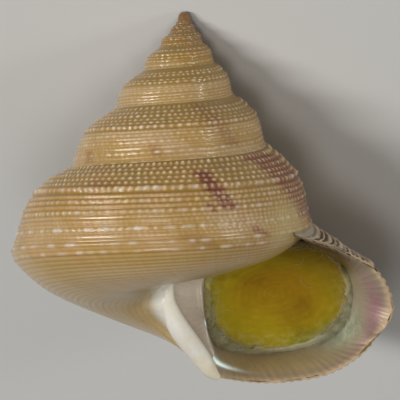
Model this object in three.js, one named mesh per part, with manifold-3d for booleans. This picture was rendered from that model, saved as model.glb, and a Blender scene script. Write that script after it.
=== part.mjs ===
// A top shell: a low dextral cone of whorls, grown as one piece, that lies on its back
// with its mouth up. Its thin horny lid sits in the mouth, on a wad of packing fibre.
// Millimetres. The shell is first made standing: the apex at the origin, the axis down -Z,
// and -Y towards a viewer who looks into the mouth. Then it is laid down, +Z up.

import * as THREE from 'three';
import { mergeVertices } from 'three/addons/utils/BufferGeometryUtils.js';
import Module from 'manifold-3d';

const wasm = await Module();
wasm.setup();

// Growth. A turn is counted from the right of the standing shell: at 0.5 the coil is at the
// left, and near 1 it ends in the mouth. Each whorl is the one before, enlarged.
const WHORL_RATIO = 1.635;
const FIRST_TURN = -6;
const LAST_TURN = 1;
const SIZE_TURN = 0.5;
// How a real shell strays from the even spiral: turn, width factor, height factor.
const GROWTH = [
  [-5, 1.058, 1.070],
  [-2, 1.087, 1.080],
  [-1, 1.119, 1.076],
  [0, 1.075, 1.041],
  [0.5, 1.017, 0.981],
  [1, 1.010, 0.993],
  [1.3, 0.979, 0.993],
];

// The whorl's outer line at SIZE_TURN, from the suture over the shoulder and the keel to
// the base: distance from the axis, depth below the apex, swelling of the last half whorl.
const WHORL_LINE = [
  [7.40, 11.17, 0],
  [7.74, 11.42, 0.2],
  [8.41, 11.84, 0.5],
  [9.17, 12.67, 0.8],
  [9.81, 13.90, 1],
  [10.16, 15.14, 1],
  [10.41, 16.08, 0.5],
  [10.57, 16.55, 0.1],
  [10.59, 16.94, 0],
  [9.98, 17.86, 0],
  [8.19, 19.18, 0],
  [5.69, 19.99, 0],
  [3.52, 20.12, 0],
  [2.15, 19.96, 0],
];
const LAST_SWELLING = 0.097;
const CORD_COUNT = 10;
const CORD_HEIGHT = 0.13;

// From the base to the axis, where the pillar's wall turns up, and inside the whorl above.
const AXIS_LINE = [
  [1.75, 19.00],
  [0.60, 17.80],
];
const AXIS_GAP = 0.15;
const AXIS_TOP = 9.0;
const SEAT = [6.1, 10.4];

// The mouth's edge: the turn at which each part of the outer line ends, evenly from the
// suture to the base, then the turns of the pillar's wall and of what the whorl above hides.
const LIP_TURNS = [1.092, 1.056, 1.036, 1.012, 1.0, 0.98, 0.96, 0.909, 0.901];
const AXIS_TURNS = [0.91, 0.93];
const HIDDEN_TURNS = [0.94, 1.0, 1.05];
// Behind its edge the mouth's face falls away like a funnel, before the hollow is cut.
const FUNNEL_TURN = 0.07;
const FUNNEL_SHARE = 0.5;

// The hollow's wall at SIZE_TURN, from the shoulder round the base and up the pillar:
// distance from the axis, depth, widening towards the mouth, and the turn where it ends.
const HOLLOW_WALL = [
  [8.15, 12.75, 0.3, 1.07],
  [8.85, 13.50, 0.3, 1.04],
  [9.30, 14.60, 0.3, 1.02],
  [9.48, 15.70, 0.3, 1.01],
  [9.35, 16.75, 0.4, 1.00],
  [8.70, 17.70, 0.4, 0.98],
  [7.45, 18.40, 0.4, 0.96],
  [5.70, 18.90, 0.45, 0.93],
  [4.20, 18.85, 0.6, 0.925],
  [3.60, 18.15, 0.8, 0.93],
  [3.05, 17.05, 0.9, 0.94],
  [2.55, 15.95, 0.8, 0.96],
  [2.25, 14.85, 0.8, 0.99],
];
// The hollow's roof is the whorl above, with a layer that ends at the mouth: place along
// the whorl's line in rows of WHORL_LINE, and the turn where it ends.
const HOLLOW_ROOF = [
  [12.1, 1.02],
  [11.3, 1.04],
  [10.5, 1.05],
  [9.8, 1.06],
  [9.0, 1.07],
];
const ROOF_LAYER = 0.45;
const ROOF_POLISH = -0.08;
const HOLLOW_MIDDLE = [5.9, 16.2];
const HOLLOW_START = -0.5;
const HOLLOW_SIDES = 26;
const WIDENING_SPAN = 0.13;

// The pillar on the axis, from the first knob of the shell to its foot: radius and depth.
const PILLAR_LINE = [
  [0, 0.04],
  [0.22, 0.12],
  [0.36, 0.38],
  [0.30, 0.75],
  [0.12, 1.60],
  [0.42, 12.0],
  [0.78, 17.5],
  [0.82, 20.2],
  [0.55, 21.4],
  [0, 21.9],
];

// The mouth's plane goes through MOUTH_POINT. The lid and the wad's front lie across the
// hollow, at their depths behind that plane.
const MOUTH_POINT = [10.55, -0.15, -19.6];
const MOUTH_NORMAL = [0.10, -0.79, -0.60];
const MOUTH_CLEARANCE = 3;
const MOUTH_TURNS = [0.6, 1.25];
const HALVINGS = 30;
const LID_DEPTH = 2.5;
const LID_THICKNESS = 0.3;
const LID_DISH = 0.35;
const LID_RINGS = [0.35, 0.7, 1];
const LID_GAP = 0.35;
const WAD_GAP = 0.3;
const WAD_START = 0.62;
const WAD_CLEARANCE = 0.35;

// How the standing shell is laid on its back: turned about its axis, tipped over, and its
// apex set down. It then rests on the apex and on the back of the last whorl's shoulder.
const AXIS_SPIN_DEG = 199.8;
const TIP_OVER_DEG = 128.0;
const APEX_PLACE = [1.434, -11.876, 0.099];

const STEPS_PER_TURN = [
  { upTo: -3.5, steps: 10 },
  { upTo: -2, steps: 18 },
  { upTo: -1, steps: 26 },
  { upTo: 2, steps: 40 },
];
const HOLLOW_STEPS = 0.6;
const WAD_STEPS = 8;
const PILLAR_SIDES = 16;
const HALF_TURN = 0.5;

// A smooth curve through rows of numbers; at is counted in rows.
function smoothRow(rows, at) {
  const last = rows.length - 1;
  const i = Math.min(Math.max(Math.floor(at), 0), last - 1);
  const u = Math.min(Math.max(at - i, 0), 1);
  const row = (k) => rows[Math.min(Math.max(k, 0), last)];
  return rows[0].map((_, c) => {
    const [a, b, d, e] = [row(i - 1)[c], row(i)[c], row(i + 1)[c], row(i + 2)[c]];
    const [v0, v1] = [(d - a) / 2, (e - b) / 2];
    return (2 * b - 2 * d + v0 + v1) * u ** 3 + (-3 * b + 3 * d - 2 * v0 - v1) * u ** 2 + v0 * u + b;
  });
}

// The same through rows that close on themselves; share runs from 0 to 1 round them.
function smoothLoop(rows, share) {
  const wrapped = [rows.at(-1), ...rows, rows[0], rows[1]];
  return smoothRow(wrapped, 1 + share * rows.length);
}

function smoothStep(from, to, x) {
  const u = Math.min(Math.max((x - from) / (to - from), 0), 1);
  return u * u * (3 - 2 * u);
}

// How much wider and taller the section at a turn is than the one at SIZE_TURN.
function growth(turn) {
  let i = GROWTH.findIndex((row) => row[0] > turn);
  i = i < 0 ? GROWTH.length - 1 : Math.max(i, 1);
  const [low, high] = [GROWTH[i - 1][0], GROWTH[i][0]];
  const [, width, height] = smoothRow(GROWTH, i - 1 + (turn - low) / (high - low));
  const even = WHORL_RATIO ** (turn - SIZE_TURN);
  return { width: even * width, height: even * height };
}

// A point of a section, carried round the axis to a turn. The coil runs right-handed.
function placeAt(turn, [radius, depth]) {
  const { width, height } = growth(turn);
  const angle = -2 * Math.PI * turn;
  return [radius * width * Math.cos(angle), radius * width * Math.sin(angle), -depth * height];
}

// A closed solid from rings of points, each ring a section's points in the same order.
function solidFromRings(rings) {
  const size = rings[0].length;
  const triangles = [];
  for (let k = 0; k + 1 < rings.length; k++) {
    for (let j = 0; j < size; j++) {
      const [a, b] = [k * size + j, k * size + ((j + 1) % size)];
      triangles.push(a, b, b + size, a, b + size, a + size);
    }
  }
  const positions = rings.flat(2);
  addCap(triangles, positions, rings[0], 0, false);
  addCap(triangles, positions, rings.at(-1), (rings.length - 1) * size, true);
  return toManifold(positions, triangles);
}

// A cap over one end ring, cut into triangles in the plane that the ring lies closest to.
function addCap(triangles, positions, ring, first, flip) {
  const points = ring.map((p) => new THREE.Vector3(...p));
  const normal = new THREE.Vector3();
  points.forEach((p, j) => normal.add(p.clone().cross(points[(j + 1) % points.length])));
  normal.normalize();
  const across = new THREE.Vector3(0, 0, 1).cross(normal).normalize();
  const up = normal.clone().cross(across);
  const flat = points.map((p) => new THREE.Vector2(p.dot(across), p.dot(up)));
  for (const [a, b, c] of THREE.ShapeUtils.triangulateShape(flat, [])) {
    triangles.push(...(flip ? [first + a, first + b, first + c] : [first + a, first + c, first + b]));
  }
}

function toManifold(positions, triangles) {
  const vertProperties = new Float32Array(positions);
  const triVerts = new Uint32Array(triangles);
  const solid = new wasm.Manifold(new wasm.Mesh({ numProp: 3, vertProperties, triVerts }));
  if (solid.volume() > 0) return solid;
  for (let i = 0; i < triVerts.length; i += 3) {
    [triVerts[i + 1], triVerts[i + 2]] = [triVerts[i + 2], triVerts[i + 1]];
  }
  return new wasm.Manifold(new wasm.Mesh({ numProp: 3, vertProperties, triVerts }));
}

function geometryToManifold(geometry) {
  geometry.deleteAttribute('normal');
  geometry.deleteAttribute('uv');
  const merged = mergeVertices(geometry, 1e-4);
  return toManifold(merged.attributes.position.array, merged.index.array);
}

function manifoldToGeometry(solid) {
  const mesh = solid.getMesh();
  const geometry = new THREE.BufferGeometry();
  geometry.setAttribute('position', new THREE.BufferAttribute(mesh.vertProperties, mesh.numProp));
  geometry.setIndex(new THREE.BufferAttribute(mesh.triVerts, 1));
  return geometry;
}

// Joins the solids of a coil, swept by half turns so that no piece meets itself.
// ringAt(from, to, share) gives the section's points a share of the way along one piece.
function sweepCoil(start, end, ringAt, lastRing, fineness = 1) {
  let coil = null;
  for (let from = start; from < end; from += HALF_TURN) {
    const to = Math.min(from + HALF_TURN, end);
    const { steps } = STEPS_PER_TURN.find((row) => from < row.upTo);
    const count = Math.round(steps * fineness * (to - from));
    const rings = [];
    for (let k = 0; k <= count; k++) {
      rings.push(ringAt(from, to, k / count));
    }
    if (to === end) rings.push(lastRing);
    const piece = solidFromRings(rings);
    coil = coil ? coil.add(piece) : piece;
  }
  return coil;
}

// The outer line as points, every other one raised as a spiral cord.
function makeOuterPoints() {
  const count = 2 * CORD_COUNT;
  const rows = WHORL_LINE.length - 1;
  const points = [];
  for (let k = 0; k <= count; k++) {
    const share = k / count;
    const [radius, depth, swelling] = smoothRow(WHORL_LINE, share * rows);
    const [r0, d0] = smoothRow(WHORL_LINE, Math.max(share * rows - 0.1, 0));
    const [r1, d1] = smoothRow(WHORL_LINE, Math.min(share * rows + 0.1, rows));
    const length = Math.hypot(r1 - r0, d1 - d0);
    const raise = k % 2 ? CORD_HEIGHT : 0;
    points.push({
      radius: radius + (raise * (d1 - d0)) / length,
      depth: depth - (raise * (r1 - r0)) / length,
      swelling,
      lipTurn: smoothRow(LIP_TURNS.map((turn) => [turn]), share * (LIP_TURNS.length - 1))[0],
    });
  }
  return points;
}

// The whole section of a whorl, hollow included: the outer line, then back along the axis.
function makeWhorlPoints() {
  const inner = (row, lipTurn) => ({ radius: row[0], depth: row[1], swelling: 0, lipTurn });
  return [
    inner(SEAT, HIDDEN_TURNS[2]),
    ...makeOuterPoints(),
    ...AXIS_LINE.map((row, i) => inner(row, AXIS_TURNS[i])),
    inner([AXIS_GAP, AXIS_LINE.at(-1)[1]], HIDDEN_TURNS[0]),
    inner([AXIS_GAP, AXIS_TOP], HIDDEN_TURNS[1]),
  ];
}

// The rings past the mouth's edge: the same points, drawn towards the middle and back.
function funnelPoint(point) {
  const [r0, d0] = HOLLOW_MIDDLE;
  const radius = r0 + (point.radius - r0) * FUNNEL_SHARE;
  const depth = d0 + (point.depth - d0) * FUNNEL_SHARE;
  return placeAt(point.lipTurn - FUNNEL_TURN, [radius, depth]);
}

function whorlPoint(point, turn) {
  const swell = 1 + LAST_SWELLING * point.swelling * smoothStep(SIZE_TURN - 0.1, 1.1, turn);
  return placeAt(turn, [point.radius * swell, point.depth]);
}

function makePillar() {
  const points = PILLAR_LINE.map(([radius, depth]) => new THREE.Vector2(radius, -depth));
  const geometry = new THREE.LatheGeometry(points, PILLAR_SIDES);
  geometry.rotateX(Math.PI / 2);
  return geometryToManifold(geometry);
}

// The hollow's outline at a turn, as distances and depths: its wall, which widens towards
// the mouth, and its roof under the whorl above. shrink draws it in from all sides.
function hollowOutline(turn, shrink) {
  const { width, height } = growth(turn);
  const [r0, d0] = HOLLOW_MIDDLE;
  const wall = HOLLOW_WALL.map(([radius, depth, widening, end]) => {
    const length = Math.hypot(radius - r0, depth - d0);
    const move = widening * smoothStep(end - WIDENING_SPAN, end, turn) - shrink / width;
    const [r, d] = [radius + (move * (radius - r0)) / length, depth + (move * (depth - d0)) / length];
    return [r * width, d * height, end];
  });
  const above = growth(turn - 1);
  const roof = HOLLOW_ROOF.map(([row, end]) => {
    const [radius, depth] = smoothRow(WHORL_LINE, row);
    const [r1, d1] = smoothRow(WHORL_LINE, row + 0.2);
    const length = Math.hypot(r1 - radius, d1 - depth);
    const polished = smoothStep(end - WIDENING_SPAN, end - 0.05, turn);
    const layer = ROOF_LAYER + (ROOF_POLISH - ROOF_LAYER) * polished + shrink;
    return [
      radius * above.width + (layer * (d1 - depth)) / length,
      depth * above.height - (layer * (r1 - radius)) / length,
      end,
    ];
  });
  return [...wall, ...roof];
}

// The point of the hollow's outline at a share of the way round it, carried to its turn.
function hollowPoint(share, turn, shrink = 0) {
  const [radius, depth] = smoothLoop(hollowOutline(turn, shrink), share);
  const angle = -2 * Math.PI * turn;
  return [radius * Math.cos(angle), radius * Math.sin(angle), -depth];
}

const HOLLOW_SHARES = Array.from({ length: HOLLOW_SIDES }, (_, i) => i / HOLLOW_SIDES);
const HOLLOW_ENDS = HOLLOW_SHARES.map((share) => smoothLoop(hollowOutline(1, 0), share)[2]);

// The turn at which a line of the hollow's wall meets the plane a depth behind the mouth.
const mouthNormal = new THREE.Vector3(...MOUTH_NORMAL).normalize();
const mouthPoint = new THREE.Vector3(...MOUTH_POINT);
function planeTurn(pointAt, depth) {
  let [low, high] = MOUTH_TURNS;
  for (let i = 0; i < HALVINGS; i++) {
    const middle = (low + high) / 2;
    const height = new THREE.Vector3(...pointAt(middle)).sub(mouthPoint).dot(mouthNormal);
    if (height > -depth) high = middle;
    else low = middle;
  }
  return (low + high) / 2;
}

function makeShell() {
  const points = makeWhorlPoints();
  const ring = (from, to, share) => points.map((point) => {
    const end = to === LAST_TURN ? point.lipTurn : to;
    return whorlPoint(point, from + (end - from) * share);
  });
  const whorls = sweepCoil(FIRST_TURN, LAST_TURN, ring, points.map(funnelPoint));
  const hollowRing = (from, to, share) => HOLLOW_SHARES.map((side, j) => {
    const end = to === LAST_TURN ? HOLLOW_ENDS[j] : to;
    return hollowPoint(side, from + (end - from) * share);
  });
  const outside = hollowRing(0, LAST_TURN, 1).map((p) =>
    p.map((value, axis) => value + MOUTH_CLEARANCE * mouthNormal.getComponent(axis)));
  const hollow = sweepCoil(HOLLOW_START, LAST_TURN, hollowRing, outside, HOLLOW_STEPS);
  return whorls.add(makePillar()).subtract(hollow);
}

// The lid: the hollow's outline on its plane, drawn in a little, and dished in the middle.
function makeLid() {
  const outline = HOLLOW_SHARES.map((side) => {
    const at = (turn) => hollowPoint(side, turn, LID_GAP);
    return new THREE.Vector3(...at(planeTurn(at, LID_DEPTH)));
  });
  const middle = outline.reduce((sum, p) => sum.add(p), new THREE.Vector3());
  middle.divideScalar(outline.length);
  const side = (lift) => LID_RINGS.map((share) => outline.map((p) => {
    const sunk = lift - LID_DISH * (1 - share * share);
    const drawn = p.clone().sub(middle).multiplyScalar(share).add(middle);
    return drawn.addScaledVector(mouthNormal, sunk).toArray();
  }));
  const back = side(-LID_THICKNESS);
  const front = side(0).reverse();
  return solidFromRings([...back, ...front]);
}

// The wad: a slice of the hollow behind the lid, clear of the walls.
function makeWad() {
  const depth = LID_DEPTH + LID_THICKNESS + LID_DISH + WAD_GAP;
  const ends = HOLLOW_SHARES.map((side) =>
    planeTurn((turn) => hollowPoint(side, turn, WAD_CLEARANCE), depth));
  const rings = [];
  for (let k = 0; k <= WAD_STEPS; k++) {
    rings.push(HOLLOW_SHARES.map((side, j) =>
      hollowPoint(side, WAD_START + ((ends[j] - WAD_START) * k) / WAD_STEPS, WAD_CLEARANCE)));
  }
  return solidFromRings(rings);
}

function addPiece(name, solid, color, roughness) {
  const material = new THREE.MeshStandardMaterial({ color, roughness, metalness: 0 });
  const mesh = new THREE.Mesh(manifoldToGeometry(solid), material);
  mesh.name = name;
  standing.add(mesh);
}

const standing = new THREE.Group();
standing.rotation.z = THREE.MathUtils.degToRad(AXIS_SPIN_DEG);
const laid = new THREE.Group();
laid.add(standing);
laid.rotation.x = THREE.MathUtils.degToRad(TIP_OVER_DEG);
laid.position.set(...APEX_PLACE);

addPiece('shell', makeShell(), 0xc39a5c, 0.4);
addPiece('operculum', makeLid(), 0x9a7a10, 0.35);
addPiece('cotton_wad', makeWad(), 0xd8d8d0, 0.9);

const model = new THREE.Group();
model.add(laid);
export default model;
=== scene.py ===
"""A top shell that lies on its back with its mouth up, its horny lid on a wad of cotton.

The shell's own sizes are millimetres, in its standing place: the apex at the origin, the
axis down -Z, and -Y towards a viewer who looks into the mouth. A turn is counted from the
right, so 0.25 is the front, 0.5 the left, and the coil ends in the mouth near 1. Places
along a whorl's line are millimetres from its suture, at the size that the coil has at its
size turn. The finished meshes are metres in the frame that the shell is packed in.
"""

import logging
import math
from dataclasses import dataclass, field
from enum import Enum
from typing import Any

import bpy
import numpy as np
from mathutils import Matrix, Vector


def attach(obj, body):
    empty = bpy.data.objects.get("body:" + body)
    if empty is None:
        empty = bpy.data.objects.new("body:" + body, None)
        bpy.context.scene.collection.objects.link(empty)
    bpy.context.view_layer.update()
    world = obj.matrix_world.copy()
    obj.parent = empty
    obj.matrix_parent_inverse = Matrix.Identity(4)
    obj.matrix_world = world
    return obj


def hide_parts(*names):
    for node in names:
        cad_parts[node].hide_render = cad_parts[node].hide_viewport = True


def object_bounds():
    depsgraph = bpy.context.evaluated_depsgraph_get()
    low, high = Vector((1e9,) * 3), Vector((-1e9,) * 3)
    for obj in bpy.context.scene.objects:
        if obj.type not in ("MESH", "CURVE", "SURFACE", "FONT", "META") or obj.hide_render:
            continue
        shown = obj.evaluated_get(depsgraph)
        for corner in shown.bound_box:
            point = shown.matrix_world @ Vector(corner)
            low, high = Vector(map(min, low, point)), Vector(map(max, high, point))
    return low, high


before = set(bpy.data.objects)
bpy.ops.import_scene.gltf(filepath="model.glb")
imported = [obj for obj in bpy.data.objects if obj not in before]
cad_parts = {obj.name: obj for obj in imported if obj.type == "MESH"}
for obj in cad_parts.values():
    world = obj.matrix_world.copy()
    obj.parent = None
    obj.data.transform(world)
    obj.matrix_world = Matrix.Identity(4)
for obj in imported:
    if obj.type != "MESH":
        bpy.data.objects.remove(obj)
CAD_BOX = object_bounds()
LOG = logging.getLogger("top_shell")
BODY = "root"
MM = 0.001
TINY = 1e-9
SEED = 41
FIBRE_SEED = 48


class Slot(Enum):
    """Names of the material slots."""

    SHELL = "shell"
    LID = "operculum"
    COTTON = "cotton"


class Beading(Enum):
    """How a spiral cord is beaded: its beads' depth on the crisp part of a whorl and on the
    smooth part, and how many of them there are to a bead of the ramp."""

    ROUND = (0.88, 0.85, 1.0)
    LUMPY = (0.65, 0.50, 1.0)
    FINE = (0.50, 0.20, 1.5)
    SMOOTH = (0.30, 0.05, 1.5)


def smooth_step(low: Any, high: Any, x: Any) -> np.ndarray:
    """Goes from 0 at low to 1 at high, level at both ends: 3u^2 - 2u^3."""
    u = np.clip((np.asarray(x, float) - low) / (np.asarray(high, float) - low), 0, 1)
    return u * u * (3 - 2 * u)


def between(rise: tuple, fall: tuple, x: Any) -> np.ndarray:
    """Goes up over one pair of values and down over another; each pair runs from 0 to 1."""
    return smooth_step(*rise, x) * smooth_step(*fall, x)


def cubic(rows: list[np.ndarray], u: np.ndarray) -> np.ndarray:
    """The cubic from the second to the third of four rows.

    Formula: its slope at each end is half the step between the rows on both sides.

    Args:
        rows: The four rows, arrays that broadcast.
        u: How far along, 0 to 1.

    Returns:
        The values between the two rows.
    """
    a, b, d, e = rows
    v0, v1 = (d - a) / 2, (e - b) / 2
    return (2 * b - 2 * d + v0 + v1) * u**3 + (-3 * b + 3 * d - 2 * v0 - v1) * u**2 + v0 * u + b


def smooth_rows(rows: Any, at: Any) -> np.ndarray:
    """A smooth curve through rows of numbers.

    Args:
        rows: The rows, one point of the curve each.
        at: Where along the curve, counted in rows; any array.

    Returns:
        The curve's values, with one more axis for the columns.
    """
    table = np.asarray(rows, float)
    last = len(table) - 1
    place = np.asarray(at, float)
    i = np.clip(np.floor(place), 0, last - 1).astype(int)
    u = np.clip(place - i, 0, 1)[..., None]
    return cubic([table[np.clip(i + k, 0, last)] for k in (-1, 0, 1, 2)], u)


def unit(vectors: Any) -> np.ndarray:
    """The vectors at length 1."""
    v = np.asarray(vectors, float)
    return v / np.maximum(np.linalg.norm(v, axis=-1, keepdims=True), 1e-12)


@dataclass(frozen=True)
class Coil:
    """The spiral that every whorl follows: each is the one before, enlarged."""

    ratio: float = 1.635
    size_turn: float = 0.5
    strays: tuple = (
        (-5, 1.058, 1.070), (-2, 1.087, 1.080), (-1, 1.119, 1.076), (0, 1.075, 1.041),
        (0.5, 1.017, 0.981), (1, 1.010, 0.993), (1.3, 0.979, 0.993),
    )

    def growth(self, turn: Any) -> tuple[np.ndarray, np.ndarray]:
        """How much wider and taller a section is than the one at the size turn.

        Formula: ratio to the power of the turns past the size turn, times the strays.

        Args:
            turn: The turns; any array.

        Returns:
            The widths and the heights.
        """
        t = np.asarray(turn, float)
        table = np.asarray(self.strays, float)
        k = np.clip(np.searchsorted(table[:, 0], t, side="right"), 1, len(table) - 1)
        low, high = table[k - 1, 0], table[k, 0]
        stray = smooth_rows(table, k - 1 + (t - low) / (high - low))
        even = self.ratio ** (t - self.size_turn)
        return stray[..., 1] * even, stray[..., 2] * even

    def carry(self, turn: Any, radius: Any, depth: Any) -> np.ndarray:
        """Points at a distance from the axis and a depth, at the angle of -2 pi times a turn."""
        angle = -2 * np.pi * np.asarray(turn, float)
        return np.stack([radius * np.cos(angle), radius * np.sin(angle), -depth + 0 * angle], -1)


@dataclass(frozen=True)
class Rest:
    """How the standing shell is laid on its back: spun, tipped over, and set down."""

    spin_deg: float = 199.8
    tip_deg: float = 128.0
    apex: tuple = (1.434, -11.876, 0.099)

    def turning(self) -> np.ndarray:
        """The rotation from the standing shell to the lying one."""
        tip = Matrix.Rotation(math.radians(self.tip_deg), 3, "X")
        return np.array(tip @ Matrix.Rotation(math.radians(self.spin_deg), 3, "Z"))

    def points(self, standing: np.ndarray) -> np.ndarray:
        """Standing points in millimetres, as lying points in metres."""
        return (standing @ self.turning().T + np.array(self.apex)) * MM

    def directions(self, standing: np.ndarray) -> np.ndarray:
        """Standing directions as lying ones."""
        return np.asarray(standing, float) @ self.turning().T


COIL = Coil()
REST = Rest()


@dataclass(frozen=True)
class Skin:
    """A grid of the shell's outside: its turns and places, how far each point is raised, its
    points and normals in the standing shell's millimetres, and its paints by name."""

    turn: np.ndarray
    place: np.ndarray
    raised: np.ndarray
    points: np.ndarray
    normals: np.ndarray
    paints: dict[str, np.ndarray]


def grid_normals(points: np.ndarray, closed: bool = False) -> np.ndarray:
    """The normals of a grid of points: the cross product of its two directions.

    Args:
        points: The grid, rows by columns by three.
        closed: Whether the columns run round and meet.

    Returns:
        Unit normals, to the right of the columns as the rows go on.
    """
    along = np.gradient(points, axis=0)
    if closed:
        across = (np.roll(points, -1, axis=1) - np.roll(points, 1, axis=1)) / 2
    else:
        across = np.gradient(points, axis=1)
    return unit(np.cross(along, across))


def grid_faces(rows: int, columns: int, wrap_rows: bool = False) -> np.ndarray:
    """The quads of a grid whose columns run round and meet, as its rows may too.

    Args:
        rows: How many rows the grid has.
        columns: How many columns it has.
        wrap_rows: Whether the last row meets the first.

    Returns:
        The quads, as rows of four point numbers.
    """
    i = np.arange(rows if wrap_rows else rows - 1)[:, None]
    j = np.arange(columns)[None, :]
    i1, j1 = (i + 1) % rows, (j + 1) % columns
    quads = [i * columns + j, i * columns + j1, i1 * columns + j1, i1 * columns + j]
    return np.stack([q + 0 * quads[0] for q in quads], -1).reshape(-1, 4)


def end_caps(rows: int, columns: int) -> tuple[np.ndarray, np.ndarray]:
    """The faces that close a grid's first ring and its last one, when its quads are flipped."""
    ring = np.arange(columns)
    return ring, ring[::-1] + (rows - 1) * columns


def make_piece(
    name: str,
    points: np.ndarray,
    faces: np.ndarray,
    material: bpy.types.Material,
    nodes: tuple[str, ...],
    paints: dict[str, np.ndarray] | None = None,
    normals: np.ndarray | None = None,
    caps: tuple[np.ndarray, ...] = (),
) -> bpy.types.Object:
    """Makes one finished piece of the shell, its place in its mesh.

    Args:
        name: The piece's name.
        points: Its points in the standing shell's millimetres; a grid is laid flat.
        faces: Its quads, as rows of point numbers.
        material: Its finish.
        nodes: The solids that it stands for.
        paints: Values on the points that its material reads, by attribute name.
        normals: Its points' normals, where neighbours have to share them.
        caps: Rings of point numbers that are closed with one face each.

    Returns:
        The object.
    """
    mesh = bpy.data.meshes.new(name)
    flat = points.reshape(-1, 3)
    rings = [ring.astype(np.int32) for ring in caps]
    corners = np.concatenate([faces.astype(np.int32).ravel(), *rings])
    sizes = np.concatenate([np.full(len(faces), 4), [len(ring) for ring in rings]]).astype(np.int32)
    starts = np.concatenate([[0], np.cumsum(sizes)[:-1]]).astype(np.int32)
    mesh.vertices.add(len(flat))
    mesh.vertices.foreach_set("co", REST.points(flat).astype(np.float32).ravel())
    mesh.loops.add(len(corners))
    mesh.loops.foreach_set("vertex_index", corners)
    mesh.polygons.add(len(starts))
    mesh.polygons.foreach_set("loop_start", starts)
    mesh.polygons.foreach_set("use_smooth", np.ones(len(starts), bool))
    mesh.update(calc_edges=True)
    mesh.validate()
    for key, values in (paints or {}).items():
        attribute = mesh.attributes.new(key, "FLOAT", "POINT")
        attribute.data.foreach_set("value", np.asarray(values, np.float32).ravel())
    if normals is not None:
        lying = REST.directions(unit(normals.reshape(-1, 3)))
        mesh.normals_split_custom_set_from_vertices(lying.tolist())
    mesh.materials.append(material)
    piece = bpy.data.objects.new(name, mesh)
    bpy.context.scene.collection.objects.link(piece)
    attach(piece, BODY)
    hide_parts(*nodes)
    LOG.info("%s: %d triangles", name, int((sizes - 2).sum()))
    return piece


class Value:
    """A socket of numbers that takes part in Python arithmetic by adding Math nodes."""

    def __init__(self, painter: "Painter", socket: Any) -> None:
        """Wraps a socket, or a plain number, of one painter's tree."""
        self.painter = painter
        self.socket = socket

    def _math(self, operation: str, *terms: Any) -> "Value":
        """A Math node.

        Args:
            operation: What it does.
            terms: Its inputs in order: values, sockets or numbers.

        Returns:
            Its result.
        """
        sockets = [t.socket if isinstance(t, Value) else t for t in terms]
        node = self.painter.add("ShaderNodeMath", {"operation": operation}, dict(enumerate(sockets)))
        return Value(self.painter, node.outputs[0])

    def __add__(self, other: Any) -> "Value":
        """The sum."""
        return self._math("ADD", self, other)

    __radd__ = __add__

    def __sub__(self, other: Any) -> "Value":
        """The difference."""
        return self._math("SUBTRACT", self, other)

    def __rsub__(self, other: Any) -> "Value":
        """The difference from a number."""
        return self._math("SUBTRACT", other, self)

    def __mul__(self, other: Any) -> "Value":
        """The product."""
        return self._math("MULTIPLY", self, other)

    __rmul__ = __mul__

    def ramp(self, low: float, high: float) -> "Value":
        """A smooth step of the value.

        Args:
            low: Where the step starts from 0.
            high: Where it reaches 1.

        Returns:
            The step's height.
        """
        settings = {"interpolation_type": "SMOOTHSTEP"}
        inputs = {0: self.socket, 1: low, 2: high, 3: 0.0, 4: 1.0}
        return Value(self.painter, self.painter.add("ShaderNodeMapRange", settings, inputs).outputs[0])


def srgb(red: int, green: int, blue: int) -> tuple[float, float, float, float]:
    """A colour given as it looks on a screen, 0 to 255, as the linear values of a shader."""
    parts = [c / 255 for c in (red, green, blue)]
    return (*[c / 12.92 if c <= 0.04045 else ((c + 0.055) / 1.055) ** 2.4 for c in parts], 1.0)


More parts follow.
